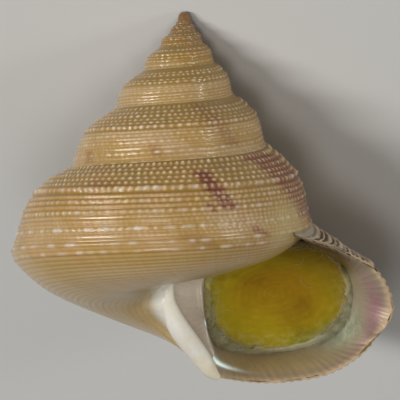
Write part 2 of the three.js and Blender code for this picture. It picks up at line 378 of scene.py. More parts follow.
class Painter:
    """Builds the nodes of one material."""

    def __init__(self, name: str) -> None:
        """Starts an empty material with a Principled shader.

        Args:
            name: The material's name.
        """
        self.material = bpy.data.materials.new(name)
        self.material.use_nodes = True
        self.tree = self.material.node_tree
        self.shader = self.tree.nodes["Principled BSDF"]

    def add(
        self, kind: str, settings: dict[str, Any] | None = None, inputs: dict[Any, Any] | None = None
    ) -> Any:
        """Adds a node.

        Args:
            kind: The node's type.
            settings: Its properties, set first.
            inputs: Values or links of its sockets, by name or number.

        Returns:
            The node.
        """
        node = self.tree.nodes.new(kind)
        for key, value in (settings or {}).items():
            setattr(node, key, value)
        for key, value in (inputs or {}).items():
            self.feed(node.inputs[key], value)
        return node

    def feed(self, socket: Any, value: Any) -> None:
        """Links a socket to another, or sets it to a constant.

        Args:
            socket: The socket that takes the value.
            value: A value, a socket or a constant.
        """
        source = value.socket if isinstance(value, Value) else value
        if isinstance(source, bpy.types.NodeSocket):
            self.tree.links.new(source, socket)
        else:
            socket.default_value = source

    def finish(self, **inputs: Any) -> bpy.types.Material:
        """Feeds the Principled shader, and ends.

        Args:
            inputs: What its sockets get, by their names with _ for a space.

        Returns:
            The material.
        """
        for key, value in inputs.items():
            self.feed(self.shader.inputs[key.replace("_", " ")], value)
        return self.material

    def paint(self, name: str) -> Value:
        """The values that a piece's points carry under a name."""
        return Value(self, self.add("ShaderNodeAttribute", {"attribute_name": name}).outputs["Fac"])

    def place(self, along: Value, across: Value) -> Any:
        """A place on the surface from two values, for a pattern that follows it."""
        return self.add("ShaderNodeCombineXYZ", None, {0: along, 1: across}).outputs[0]

    def here(self) -> Any:
        """The place in the piece's own coordinates."""
        return self.add("ShaderNodeTexCoord").outputs["Object"]

    def noise(self, place: Any, scale: float, detail: float = 2.0, roughness: float = 0.5) -> Value:
        """Soft noise from 0 to 1 over a place."""
        inputs = {"Vector": place, "Scale": scale, "Detail": detail, "Roughness": roughness}
        return Value(self, self.add("ShaderNodeTexNoise", None, inputs).outputs["Fac"])

    def mix(self, low: Any, high: Any, share: Any, blend: str = "MIX") -> Any:
        """A colour from low to high, by a share."""
        settings = {"data_type": "RGBA", "blend_type": blend}
        return self.add("ShaderNodeMix", settings, {0: share, 6: low, 7: high}).outputs[2]

    def grey(self, tone: Value) -> Any:
        """The grey of a tone."""
        return self.add("ShaderNodeCombineColor", None, {0: tone, 1: tone, 2: tone}).outputs[0]

    def toned(self, colour: Any, tone: Value) -> Any:
        """A colour made lighter or darker by a tone."""
        return self.mix(colour, self.grey(tone), 1.0, "MULTIPLY")

    def bump(self, height: Value, distance_mm: float, strength: float) -> Any:
        """A normal bent by a height, with the relief of a full step in millimetres."""
        inputs = {"Height": height, "Distance": distance_mm * MM, "Strength": strength}
        return self.add("ShaderNodeBump", None, inputs).outputs["Normal"]


@dataclass(frozen=True)
class OuterFinish:
    """The glossy, faintly pearly outside: golden furrows, tan cords, pale beads, flames."""

    furrow: tuple = srgb(156, 120, 46)
    olive: tuple = srgb(146, 116, 50)
    cord: tuple = srgb(180, 142, 84)
    pink: tuple = srgb(188, 150, 102)
    bead: tuple = srgb(240, 228, 196)
    dash: tuple = srgb(226, 212, 200)
    flame: tuple = srgb(118, 46, 8)
    amber: tuple = srgb(190, 120, 40)
    base: tuple = srgb(192, 160, 102)
    base_furrow: tuple = srgb(164, 135, 86)
    young: tuple = srgb(130, 94, 54)
    callus: tuple = srgb(222, 218, 206)
    cream: tuple = srgb(186, 164, 122)
    moss: tuple = srgb(148, 144, 66)
    aged: tuple = srgb(72, 48, 30)
    worn: tuple = srgb(206, 186, 160)
    bare: tuple = srgb(172, 164, 150)
    sand: tuple = srgb(180, 148, 86)
    pearl: tuple = srgb(200, 172, 134)
    glaze: tuple = srgb(192, 176, 122)
    rosy: tuple = srgb(208, 184, 154)
    grain_scale: float = 9000.0
    roughness: float = 0.36
    coat: float = 0.58
    relief_mm: float = 0.03

    def material(self) -> bpy.types.Material:
        """Builds the finish.

        Returns:
            The material.
        """
        p = Painter("shell_outside")
        along, across = p.paint("along"), p.paint("across")
        ridge, bead, dash = p.paint("ridge"), p.paint("bead"), p.paint("dash")
        streaks = p.noise(p.place(along * 2.2, across * 0.12), 1.0, 4.0, 0.6)
        clouds = p.noise(p.place(along * 0.22, across * 0.32), 1.0, 3.0)
        patches = p.noise(p.place(along * 0.5 + 31.0, across * 0.45), 1.0, 2.0)
        grain = p.noise(p.here(), self.grain_scale, 3.0, 0.6)
        furrow = p.mix(self.furrow, self.olive, clouds.ramp(0.42, 0.62))
        cord = p.mix(self.cord, self.pink, patches.ramp(0.42, 0.6))
        side = p.mix(furrow, cord, ridge.ramp(0.08, 0.7))
        low = p.mix(self.base_furrow, self.base, ridge.ramp(0.05, 0.5))
        pastel = p.mix(self.sand, self.pearl, clouds.ramp(0.45, 0.58))
        side = p.mix(side, pastel, p.paint("soft") * 0.5)
        colour = p.mix(side, low, p.paint("under"))
        colour = p.mix(colour, self.amber, patches.ramp(0.54, 0.7) * (1 - ridge * 0.5) * 0.22)
        threads = p.noise(p.place(along * 0.25, across * 9.0), 1.0, 2.0)
        near_white = p.mix(self.cream, self.moss, threads.ramp(0.60, 0.70) * 0.8)
        colour = p.mix(colour, near_white, p.paint("navel") * 0.6)
        colour = p.mix(colour, self.young, p.paint("young"))
        colour = p.mix(colour, self.flame, p.paint("blotch"))
        colour = p.mix(colour, self.bead, bead)
        colour = p.mix(colour, self.dash, dash)
        worn = p.mix(self.aged, self.worn, ridge.ramp(0.3, 0.62))
        worn = p.mix(worn, self.bare, p.paint("bare"))
        colour = p.mix(colour, worn, p.paint("aged"))
        glaze = p.mix(self.glaze, self.rosy, p.paint("under"))
        colour = p.mix(colour, glaze, p.paint("glaze") * (clouds * 0.6 + 0.4))
        colour = p.mix(colour, self.callus, p.paint("callus"))
        relief = streaks * 0.6 + grain * 0.4
        return p.finish(
            Base_Color=p.toned(colour, streaks * 0.35 + grain * 0.25 + 0.70),
            Roughness=self.roughness - bead * 0.12 + grain * 0.1,
            Normal=p.bump(relief, self.relief_mm, 0.45),
            Specular_IOR_Level=0.35,
            Coat_Weight=self.coat - p.paint("aged") * 0.5,
            Coat_Roughness=0.09,
            Subsurface_Weight=0.12,
            Subsurface_Radius=(1.0, 0.6, 0.35),
            Subsurface_Scale=0.4 * MM,
        )


@dataclass(frozen=True)
class NacreFinish:
    """The mouth's lining: a tan edge, nacre bands of pink, silver and sea green, painted shade under the
    upper lip, a painted glint.
    """

    edge: tuple = srgb(190, 166, 136)
    # Colour of the painted shade under the upper lip.
    olive: tuple = srgb(92, 68, 22)
    fleece: tuple = srgb(176, 184, 160)
    pearl: tuple = srgb(222, 214, 206)
    silver: tuple = srgb(160, 146, 126)
    pink: tuple = srgb(156, 116, 122)
    green: tuple = srgb(148, 158, 138)
    brown: tuple = srgb(176, 156, 120)
    violet: tuple = srgb(196, 182, 166)
    # Colour of the painted glint on the fold, a highlight that is also emitted.
    gleam: tuple = srgb(226, 250, 252)
    grain_scale: float = 5200.0
    mottle_scale: float = 1500.0
    roughness: float = 0.42
    metal: float = 0.15
    coat: float = 0.2
    relief_mm: float = 0.03
    film_nm: float = 420.0

    def material(self) -> bpy.types.Material:
        """Builds the finish.

        Returns:
            The material.
        """
        p = Painter("mouth_nacre")
        along, across = p.paint("along"), p.paint("across")
        wavy = p.noise(p.place(along * 0.9, across * 1.5), 1.0, 3.0)
        rays = p.noise(p.place(along * 4.0, across * 0.4), 1.0, 2.0)
        grain = p.noise(p.here(), self.grain_scale, 2.0)
        colour = p.mix(self.silver, self.pink, p.paint("pink") * (wavy * 0.7 + 0.6))
        mottle = p.noise(p.here(), self.mottle_scale, 4.0, 0.6)
        green = p.mix(self.green, self.fleece, mottle.ramp(0.42, 0.62))
        colour = p.mix(colour, green, p.paint("green") * (wavy * 0.6 + 0.6))
        colour = p.mix(colour, self.brown, p.paint("brown") * (rays * 0.6 + 0.6))
        colour = p.mix(colour, self.violet, p.paint("violet"))
        colour = p.mix(colour, self.pearl, p.paint("pearl") * 0.7)
        # Painted highlight: the glint colour along the fold's ridge.
        colour = p.mix(colour, self.gleam, p.paint("gleam"))
        # Painted shade: dark olive under the upper lip, where the lip shades the lining.
        colour = p.mix(colour, self.olive, p.paint("olive"))
        colour = p.mix(colour, self.edge, p.paint("edge"))
        matte = p.paint("violet")
        # The painted glint is also emitted, so it glows though it is no lamp.
        glint = p.mix(srgb(0, 0, 0), self.gleam, p.paint("gleam"))
        return p.finish(
            Base_Color=p.toned(colour, rays * 0.3 + grain * 0.2 + 0.75),
            Roughness=self.roughness + p.paint("edge") * 0.15 + matte * 0.25 - p.paint("gleam") * 0.2,
            Metallic=self.metal - p.paint("edge") * self.metal,
            Normal=p.bump(rays * 0.7 + grain * 0.3, self.relief_mm, 0.5),
            Coat_Weight=self.coat - matte * self.coat,
            Coat_Roughness=0.2,
            Emission_Color=glint,
            Emission_Strength=0.6,
            Thin_Film_Thickness=self.film_nm,
            Thin_Film_IOR=1.45,
        )


@dataclass(frozen=True)
class PorcelainFinish:
    """The pillar's smooth white porcelain, creamy towards the base."""

    white: tuple = srgb(232, 230, 222)
    cream: tuple = srgb(222, 214, 188)
    grey: tuple = srgb(196, 190, 184)
    cloud_scale: float = 420.0
    grain_scale: float = 4200.0
    roughness: float = 0.48
    relief_mm: float = 0.03

    def material(self) -> bpy.types.Material:
        """Builds the finish.

        Returns:
            The material.
        """
        p = Painter("pillar_porcelain")
        clouds = p.noise(p.here(), self.cloud_scale, 3.0)
        grain = p.noise(p.here(), self.grain_scale, 2.0)
        colour = p.mix(self.white, self.cream, clouds.ramp(0.4, 0.68))
        colour = p.mix(colour, self.grey, p.paint("inner") * 0.6)
        return p.finish(
            Base_Color=p.toned(colour, grain * 0.12 + 0.92),
            Roughness=self.roughness + grain * 0.1,
            Normal=p.bump(clouds * 0.6 + grain * 0.4, self.relief_mm, 0.35),
            Coat_Weight=0.08,
            Coat_Roughness=0.3,
            Subsurface_Weight=0.2,
            Subsurface_Radius=(1.0, 0.8, 0.6),
            Subsurface_Scale=0.5 * MM,
        )


@dataclass(frozen=True)
class HornFinish:
    """The lid's thin horn: amber in the middle, yellow-green at the rim, faintly ringed."""

    amber: tuple = srgb(153, 117, 10)
    yellow: tuple = srgb(166, 142, 14)
    green: tuple = srgb(150, 146, 14)
    brown: tuple = srgb(104, 70, 8)
    film: tuple = srgb(184, 176, 116)
    light: tuple = srgb(190, 168, 24)
    cloud_scale: float = 260.0
    grain_scale: float = 1900.0
    roughness: float = 0.46
    relief_mm: float = 0.03

    def material(self) -> bpy.types.Material:
        """Builds the finish.

        Returns:
            The material.
        """
        p = Painter("lid_horn")
        clouds = p.noise(p.here(), self.cloud_scale, 4.0, 0.6)
        fine = p.noise(p.here(), self.grain_scale, 4.0, 0.6)
        rings = p.paint("rings")
        colour = p.mix(self.amber, self.yellow, p.paint("outer").ramp(0.35, 0.8))
        colour = p.mix(colour, self.green, p.paint("rim") * clouds.ramp(0.3, 0.6))
        colour = p.mix(colour, self.brown, p.paint("shaded"))
        colour = p.mix(colour, self.brown, clouds.ramp(0.48, 0.72) * 0.5)
        colour = p.mix(colour, self.light, p.paint("lit") * 0.7)
        colour = p.mix(colour, self.film, p.paint("film") * fine.ramp(0.35, 0.65) * 0.8)
        return p.finish(
            Base_Color=p.toned(colour, fine * 0.4 + rings * 0.02 + 0.70),
            Roughness=self.roughness + fine * 0.2,
            Normal=p.bump(fine * 0.5 + rings * 0.5, self.relief_mm, 0.6),
            Specular_IOR_Level=0.25,
            Subsurface_Weight=0.15,
            Subsurface_Radius=(1.0, 0.6, 0.1),
            Subsurface_Scale=0.5 * MM,
        )


@dataclass(frozen=True)
class CottonFinish:
    """Cotton: soft grey-white fibres with a silky gleam."""

    name: str = "cotton_fibre"
    light: tuple = srgb(200, 196, 160)
    dark: tuple = srgb(150, 140, 90)
    clump_scale: float = 900.0
    grain_scale: float = 8000.0
    roughness: float = 0.55
    relief_mm: float = 0.02

    def material(self) -> bpy.types.Material:
        """Builds the finish.

        Returns:
            The material.
        """
        p = Painter(self.name)
        clumps = p.noise(p.here(), self.clump_scale, 3.0)
        fine = p.noise(p.here(), self.grain_scale, 2.0)
        colour = p.mix(self.dark, self.light, clumps.ramp(0.3, 0.65))
        return p.finish(
            Base_Color=colour,
            Roughness=self.roughness + fine * 0.2,
            Normal=p.bump(fine, self.relief_mm, 0.5),
            Sheen_Weight=0.4,
            Subsurface_Weight=0.3,
            Subsurface_Radius=(1.0, 0.95, 0.85),
            Subsurface_Scale=0.2 * MM,
        )


@dataclass(frozen=True)
class DriftFinish:
    """The cotton round the lid: bluish white, mottled grey, or stained like the lid; painted shade at its
    top, painted glints.
    """

    white: tuple = srgb(176, 180, 152)
    grey: tuple = srgb(172, 160, 120)
    dark: tuple = srgb(128, 118, 72)
    stain: tuple = srgb(154, 142, 48)
    # Colour of the painted shade at the drift's top, under the lip.
    brown: tuple = srgb(100, 76, 18)
    # Colour of the painted glints on the whitest cotton.
    cream: tuple = srgb(236, 220, 160)
    mottle_scale: float = 1500.0
    clump_scale: float = 620.0
    glint_scale: float = 900.0
    roughness: float = 0.6
    relief_mm: float = 0.05

    def material(self) -> bpy.types.Material:
        """Builds the finish.

        Returns:
            The material.
        """
        p = Painter("cotton_drift")
        mottle = p.noise(p.here(), self.mottle_scale, 4.0, 0.6)
        clumps = p.noise(p.here(), self.clump_scale, 3.0)
        painted_glints = p.noise(p.here(), self.glint_scale, 1.0)
        white, inner = p.paint("white"), p.paint("inner")
        colour = p.mix(self.grey, self.dark, mottle.ramp(0.45, 0.65) * 0.8)
        colour = p.mix(colour, self.white, white.ramp(0.3, 0.9) * mottle.ramp(0.3, 0.6))
        colour = p.mix(colour, self.stain, (1 - white.ramp(0.0, 0.4)) * 0.9)
        # Painted shade: the drift turns brown at its top, where the lip shades it.
        colour = p.mix(colour, self.brown, p.paint("top"))
        # Painted highlights: small cream glints on the whitest cotton.
        colour = p.mix(colour, self.cream, painted_glints.ramp(0.68, 0.72) * white.ramp(0.6, 0.9))
        hole = inner * 1.3 - clumps - mottle * 0.4
        return p.finish(
            Base_Color=colour,
            Roughness=self.roughness + mottle * 0.2,
            Alpha=1 - hole.ramp(0.0, 0.35),
            Normal=p.bump(mottle, self.relief_mm, 0.7),
            Sheen_Weight=0.3,
            Subsurface_Weight=0.2,
            Subsurface_Radius=(1.0, 0.95, 0.85),
            Subsurface_Scale=0.2 * MM,
        )


@dataclass(frozen=True)
class Cord:
    """One spiral cord of a whorl's line, and how white the dashes on it are."""

    place: float
    height: float
    half_width: float
    beading: Beading
    first_turn: float = -9.0
    dashes: float = 0.0


def base_threads(start: float, end: float, step: float) -> tuple[Cord, ...]:
    """The fine threads of the base, from one place to another, each half a step wide a side."""
    places = np.arange(start, end, step)
    return tuple(Cord(float(place), 0.040, step / 2, Beading.SMOOTH) for place in places)


@dataclass(frozen=True)
class Flame:
    """A red-brown blotch: its growth turn, where it starts and ends on the line, its half
    width in turns and its strength."""

    turn: float
    start: float
    end: float
    half_width: float
    strength: float


@dataclass
class Whorls:
    """The outside of the shell, from the apex to the lip, in a few closed pieces of skin."""

    line: tuple = (
        (7.40, 11.17, 0), (7.74, 11.42, 0.2), (8.41, 11.84, 0.5), (9.17, 12.67, 0.8),
        (9.81, 13.90, 1), (10.16, 15.14, 1), (10.41, 16.08, 0.5), (10.57, 16.55, 0.1),
        (10.59, 16.94, 0), (9.98, 17.86, 0), (8.19, 19.18, 0), (5.69, 19.99, 0),
        (3.52, 20.12, 0), (2.15, 19.96, 0), (1.50, 19.78, 0), (0.95, 19.45, 0), (0.35, 19.00, 0),
    )
    axis_lift: float = 0.75
    axis_lift_rows: float = 2.2
    axis_lift_turns: tuple = (0.52, 0.78)
    tuck: tuple = (0.7, 0.25, 0.0)
    join_row: float = 6.8
    join_inset: float = 0.08
    join_reach: float = 2.2
    join_fall: tuple = (1.0, 1.08)
    join_left: float = 0.6
    line_end: float = 13.0
    lip_turns: tuple = (1.092, 1.056, 1.036, 1.012, 1.0, 0.984, 0.972, 0.930, 0.901)
    lip_cut: tuple = ((1.0, 0), (2.2, 0.006), (3.3, 0.012), (4.8, 0.006), (6.0, 0))
    lip_flare: tuple = (0.24, 0.92, 1.0)
    pillar_turns: tuple = (0.91, 0.93, 0.94)
    swelling: float = 0.097
    swelling_turns: tuple = (0.4, 1.1)
    rows_a_line: int = 100
    slope_rows: float = 0.05
    first_turn: float = -6.0
    front_turn: float = 0.25
    last_start: float = -0.15
    bend_turn: float = 0.45
    side_end: float = 6.78
    pillar_rows: float = 2.9
    beads_at_front: float = 106.0
    bead_growth: float = 0.37
    samples_per_bead: int = 6
    bead_sizes: tuple = (0.55, 1.0)
    boldness: float = 1.42
    chances: int = 4096
    grid_end: float = 1.2
    grid_steps: int = 30000
    dashes: int = 900
    dash_gaps: tuple = (0.013, 0.042)
    dash_halves: tuple = (0.0022, 0.0058)
    dash_strengths: tuple = (0.1, 1.0)
    wall: float = 0.42
    lip_taper: float = 0.06
    lip_thinness: float = 0.07
    lip_inside: tuple = (0.85, 0.7, 0.06)
    lip_sink: float = 0.22
    side_step: float = 0.062
    base_step: float = 0.09
    inner_rows: int = 9
    paint_radius: float = 10.0
    least_width: float = 0.25
    # Where the cords and colours change: pairs of turns, of growth turns, which are 1 at the
    # lip, or of places. Each pair goes from 0 to 1, and where there are two, back to 0.
    young_turns: tuple = (-1.2, -3.2)
    young_paint: tuple = (-2.6, -4.6)
    crisp_growth: tuple = (0.24, 0.17)
    calm_turns: tuple = ((-2.3, -1.7), (-0.35, -0.5))
    calm_places: tuple = (2.6, 3.3)
    body_start: float = -0.4
    body_places: tuple = (4.3, 5.5)
    fading_growth: tuple = (0.72, 0.92)
    fading_places: tuple = (12.0, 15.5)
    scallops: float = 2.0
    scallop_growth: tuple = (0.982, 0.997)
    scallop_places: tuple = (7.0, 8.5)
    flare_places: tuple = ((1.2, 2.6), (6.6, 4.8))
    sunk_growth: tuple = ((0.78, 0.90), (1.0, 0.965))
    sunk_places: tuple = (2.8, 1.4)
    soft_places: tuple = (3.6, 5.2)
    under_places: tuple = (7.1, 8.2)
    navel_places: tuple = (13.3, 15.5)
    bare_places: tuple = (0.38, 0.15)
    aged_growth: tuple = (0.88, 0.94)
    aged_places: tuple = (2.9, 2.0)
    glaze_turns: tuple = ((0.055, 0.08), (0.145, 0.11))
    glaze_places: tuple = ((3.4, 5.6), (8.6, 7.6))
    rim_turns: tuple = ((-0.02, 0.05), (0.42, 0.36))
    rim_places: tuple = ((8.2, 9.6), (14.0, 12.0))
    early: tuple = (
        ("shell_spire_tip", -6.0, -2.15, 0.15, 4),
        ("shell_spire", -2.15, -1.15, 0.09, 6),
        ("shell_penultimate_whorl", -1.15, -0.15, 0.075, 6),
    )
    cords: tuple = (
        Cord(-0.02, 0.09, 0.16, Beading.ROUND),
        Cord(0.37, 0.13, 0.19, Beading.ROUND, -1.0),
        Cord(0.76, 0.10, 0.17, Beading.ROUND, -2.4),
        Cord(1.16, 0.13, 0.19, Beading.ROUND, -6.0),
        Cord(1.55, 0.10, 0.17, Beading.ROUND, -1.2),
        Cord(1.93, 0.10, 0.17, Beading.ROUND, -2.2),
        Cord(0.17, 0.09, 0.10, Beading.ROUND, 0.5),
        Cord(0.56, 0.09, 0.10, Beading.ROUND, 0.5),
        Cord(0.96, 0.09, 0.10, Beading.ROUND, 0.5),
        Cord(1.35, 0.09, 0.10, Beading.ROUND, 0.5),
        Cord(1.74, 0.09, 0.10, Beading.ROUND, 0.5),
        Cord(2.18, 0.09, 0.11, Beading.ROUND, 0.5),
        Cord(2.45, 0.17, 0.28, Beading.LUMPY, -9.0, 0.75),
        Cord(3.05, 0.10, 0.20, Beading.FINE, -1.8),
        Cord(3.45, 0.13, 0.22, Beading.LUMPY, -9.0, 0.35),
        Cord(3.86, 0.10, 0.20, Beading.FINE, -2.2),
        Cord(4.27, 0.13, 0.22, Beading.LUMPY, -3.0, 0.5),
        Cord(4.63, 0.06, 0.16, Beading.FINE, -1.2),
        Cord(4.96, 0.11, 0.20, Beading.FINE, -2.4),
        Cord(5.24, 0.05, 0.13, Beading.FINE, -0.9),
        Cord(5.52, 0.12, 0.20, Beading.LUMPY, -9.0, 0.85),
        Cord(5.78, 0.06, 0.14, Beading.FINE, -0.9),
        Cord(6.04, 0.10, 0.19, Beading.FINE, -2.4),
        Cord(6.33, 0.06, 0.15, Beading.SMOOTH, -0.9),
        Cord(6.64, 0.11, 0.19, Beading.SMOOTH, -3.0, 0.7),
        Cord(6.95, 0.07, 0.16, Beading.SMOOTH, -0.9),
        Cord(7.27, 0.10, 0.19, Beading.SMOOTH, -2.0, 0.9),
        *base_threads(7.68, 17.6, 0.41),
    )
    flames: tuple = (
        Flame(0.168, 1.2, 4.35, 0.0115, 1.0),
        Flame(0.190, 3.9, 4.5, 0.004, 0.8),
        Flame(0.150, 5.9, 6.7, 0.0075, 0.75),
        Flame(0.048, 0.3, 5.8, 0.020, 0.85),
        Flame(0.010, 0.3, 6.4, 0.030, 0.95),
        Flame(0.300, 1.75, 2.3, 0.028, 0.4),
        Flame(0.235, 6.2, 7.3, 0.018, 0.25),
        Flame(-0.585, 4.9, 6.3, 0.012, 0.55),
        Flame(-0.72, 4.6, 6.2, 0.012, 0.35),
        Flame(-0.86, 0.3, 5.6, 0.020, 0.35),
    )
    table: np.ndarray = field(init=False)
    places: np.ndarray = field(init=False)

    def __post_init__(self) -> None:
        """Measures the whorl's line, so that places along it are millimetres."""
        self.table = np.linspace(-1, len(self.line) - 1, len(self.line) * self.rows_a_line + 1)
        line = self.bare_line(self.table)
        steps = np.hypot(np.diff(line[:, 0]), np.diff(line[:, 1]))
        places = np.concatenate([[0], np.cumsum(steps)])
        self.places = places - places[self.rows_a_line]

    def bare_line(self, row: Any) -> np.ndarray:
        """The line at a row; before its first row it runs straight in under the whorl above."""
        before = np.minimum(np.asarray(row, float), 0)[..., None]
        return smooth_rows(self.line, row) + before * np.array(self.tuck)

    def row(self, place: Any) -> np.ndarray:
        """The row of the line at a place in millimetres from the suture."""
        return np.interp(place, self.places, self.table)

    def lip_turn(self, row: Any) -> np.ndarray:
        """The turn at which the line's growth ends in the lip.

        Args:
            row: The rows of the line; any array.

        Returns:
            The turns.
        """
        share = np.maximum(np.asarray(row, float), 0) / self.line_end
        lip = smooth_rows([[t] for t in self.lip_turns], share * (len(self.lip_turns) - 1))[..., 0]
        tail = np.array([self.lip_turns[-1], *self.pillar_turns])
        past = smooth_rows(tail[:, None], np.asarray(row, float) - self.line_end)[..., 0]
        return np.where(share <= 1, lip, past)

    def lip_edge(self, row: Any) -> np.ndarray:
        """The turn at which the skin ends: the growth line, cut back a little at the shoulder."""
        return self.lip_turn(row) - np.interp(row, *zip(*self.lip_cut))

    def section(self, turn: Any, row: Any) -> tuple[np.ndarray, np.ndarray]:
        """The bare line's distance from the axis and depth at a turn.

        Formula: the line's radius, swollen near the lip, times the coil's width, and its
        depth times the coil's height. Near the suture it is drawn, by a share that falls with
        the square of the place, to the side of the whorl above; at the lip it falls away.

        Args:
            turn: The turns.
            row: The rows of the line.

        Returns:
            The distances from the axis, and the depths.
        """
        width, height = COIL.growth(turn)
        line = self.bare_line(row)
        lift = self.axis_lift * np.clip(np.asarray(row, float) - self.line_end, 0, self.axis_lift_rows)
        lifted = line[..., 1] - lift * smooth_step(*self.axis_lift_turns, turn)
        swell = 1 + self.swelling * line[..., 2] * smooth_step(*self.swelling_turns, turn)
        place = np.interp(row, self.table, self.places)
        drawn = np.clip(1 - np.maximum(place, 0) / self.join_reach, 0, 1) ** 2
        drawn = drawn * (1 - (1 - self.join_left) * smooth_step(*self.join_fall, turn))
        above_width, above_height = COIL.growth(np.asarray(turn, float) - 1)
        join, first = self.bare_line(self.join_row), self.bare_line(0.0)
        inwards = join[0] * above_width - (first[0] + self.join_inset) * width
        upwards = join[1] * above_height - first[1] * height
        return line[..., 0] * swell * width + drawn * inwards, lifted * height + drawn * upwards

    def surface(self, turn: np.ndarray, place: np.ndarray, raised: Any) -> np.ndarray:
        """Points of the outside: the line carried round, moved out square to itself.

        Args:
            turn: The turns.
            place: The places along the line.
            raised: How far each point is moved out, at the size turn's size.

        Returns:
            The points.
        """
        row = self.row(place)
        radius, depth = self.section(turn, row)
        r0, d0 = self.section(turn, row - self.slope_rows)
        r1, d1 = self.section(turn, row + self.slope_rows)
        length = np.maximum(np.hypot(r1 - r0, d1 - d0), TINY)
        move = raised * COIL.growth(turn)[0]
        return COIL.carry(turn, radius + move * (d1 - d0) / length, depth - move * (r1 - r0) / length)

    def bead_count(self, turn: Any) -> np.ndarray:
        """The beads up to a turn: each turn has exp(k) times as many of them as the last."""
        k = self.bead_growth
        return self.beads_at_front / k * np.exp(k * (np.asarray(turn, float) - self.front_turn))

    def turns_between(self, start: float, end: float, samples: int) -> np.ndarray:
        """Turns spaced so that each bead has the same number of samples.

        Args:
            start: The first turn.
            end: The last one.
            samples: How many of them a bead has.

        Returns:
            The turns.
        """
        first, last = self.bead_count([start, end])
        count = int(round((last - first) * samples))
        beads = np.linspace(first, last, count + 1)
        k = self.bead_growth
        return np.log(beads * k / self.beads_at_front) / k + self.front_turn

    def dash_line(self, grid: np.ndarray, rng: np.random.Generator) -> np.ndarray:
        """White dashes along a cord, of chance lengths and gaps.

        Args:
            grid: Turns along the cord.
            rng: Where the chances come from.

        Returns:
            Each dash's strength inside it, and 0 between.
        """
        centres = self.first_turn + np.cumsum(rng.uniform(*self.dash_gaps, self.dashes))
        halves = rng.uniform(*self.dash_halves, self.dashes)
        strengths = rng.uniform(*self.dash_strengths, self.dashes)
        nearest = np.clip(np.searchsorted(centres, grid), 1, len(centres) - 1)
        nearest -= grid - centres[nearest - 1] < centres[nearest] - grid
        distance = np.abs(grid - centres[nearest]) / halves[nearest]
        return strengths[nearest] * smooth_step(1.7, 0.35, distance)

    def cord_values(
        self, cord: Cord, rng: np.random.Generator, grid: np.ndarray, turn: np.ndarray, x: np.ndarray,
        crisp: np.ndarray,
    ) -> list[np.ndarray]:
        """One cord's height and colour values at the points near it.

        Formula: a raised cosine across its width, times one less its beading times a cosine
        of the bead count along it. No two beads have quite the same size or whiteness.

        Args:
            cord: The cord.
            rng: Where its chances come from.
            grid: Turns along it, for its dashes.
            turn: The points' turns.
            x: Their distances from its middle, in half widths.
            crisp: How crisp the beading is at each of them.

        Returns:
            Its height at the size turn's size, its ridge, its beads and its dashes.
        """
        dashes = self.dash_line(grid, rng)
        shift, wander = rng.uniform(-0.2, 0.2), rng.uniform(0, 6.3)
        sizes, whites = rng.uniform(*self.bead_sizes, self.chances), rng.uniform(0, 1, self.chances) ** 2
        growth_turn = turn - float(self.lip_turn(self.row(cord.place))) + 1
        present = smooth_step(cord.first_turn, cord.first_turn + 0.5, turn)
        profile = np.cos(np.pi / 2 * x) ** 2
        if cord.beading is not Beading.ROUND:
            profile = 0.5 * (profile + 1 - np.abs(x) ** 2.2)
        profile = profile * present
        crisp_depth, smooth_depth, rate = cord.beading.value
        depth = smooth_depth + (crisp_depth - smooth_depth) * crisp
        count = self.bead_count(growth_turn) * rate + shift + 0.30 * np.sin(growth_turn * 37 + wander)
        number = np.floor(count + 0.5).astype(int) % self.chances
        knob = (0.5 + 0.5 * np.cos(2 * np.pi * count)) ** 1.3 * sizes[number]
        white = np.interp(growth_turn, grid, dashes) * cord.dashes * smooth_step(-1.9, -0.3, growth_turn)
        height = self.boldness * cord.height * profile * (1 - depth + depth * knob) * (1 + 0.35 * white)
        height *= 1 - 0.8 * smooth_step(*self.fading_places, cord.place)
        ridge = profile * (1 - 0.75 * depth * (1 - knob))
        bead = profile * smooth_step(0.2, 0.8, knob) * depth * (0.45 + 0.55 * whites[number])
        return [height, ridge, bead, white * profile]

    def level(
        self, turn: np.ndarray, place: np.ndarray, growth_turn: np.ndarray, calm: np.ndarray
    ) -> np.ndarray:
        """How high the cords stand at a point, whichever they are.

        They are lower where the shell is calm, under the glaze, on the body's lower side and
        on the last half whorl, and higher on the young whorls and where they end in the lip.

        Args:
            turn: The points' turns.
            place: Their places.
            growth_turn: Their growth turns.
            calm: How calm the shell is at each of them.

        Returns:
            What each cord's own height is multiplied by.
        """
        body = smooth_step(*self.body_places, place) * (turn > self.body_start)
        ends = smooth_step(*self.scallop_growth, growth_turn) * smooth_step(*self.scallop_places, place)
        level = (1 - 0.5 * self.glaze_paint(turn, place)) * (1 - 0.4 * calm - 0.25 * body)
        level = level * (1 - 0.35 * smooth_step(*self.fading_growth, growth_turn))
        return level * (1 + self.scallops * ends) * (1 + 0.4 * smooth_step(*self.young_turns, turn))

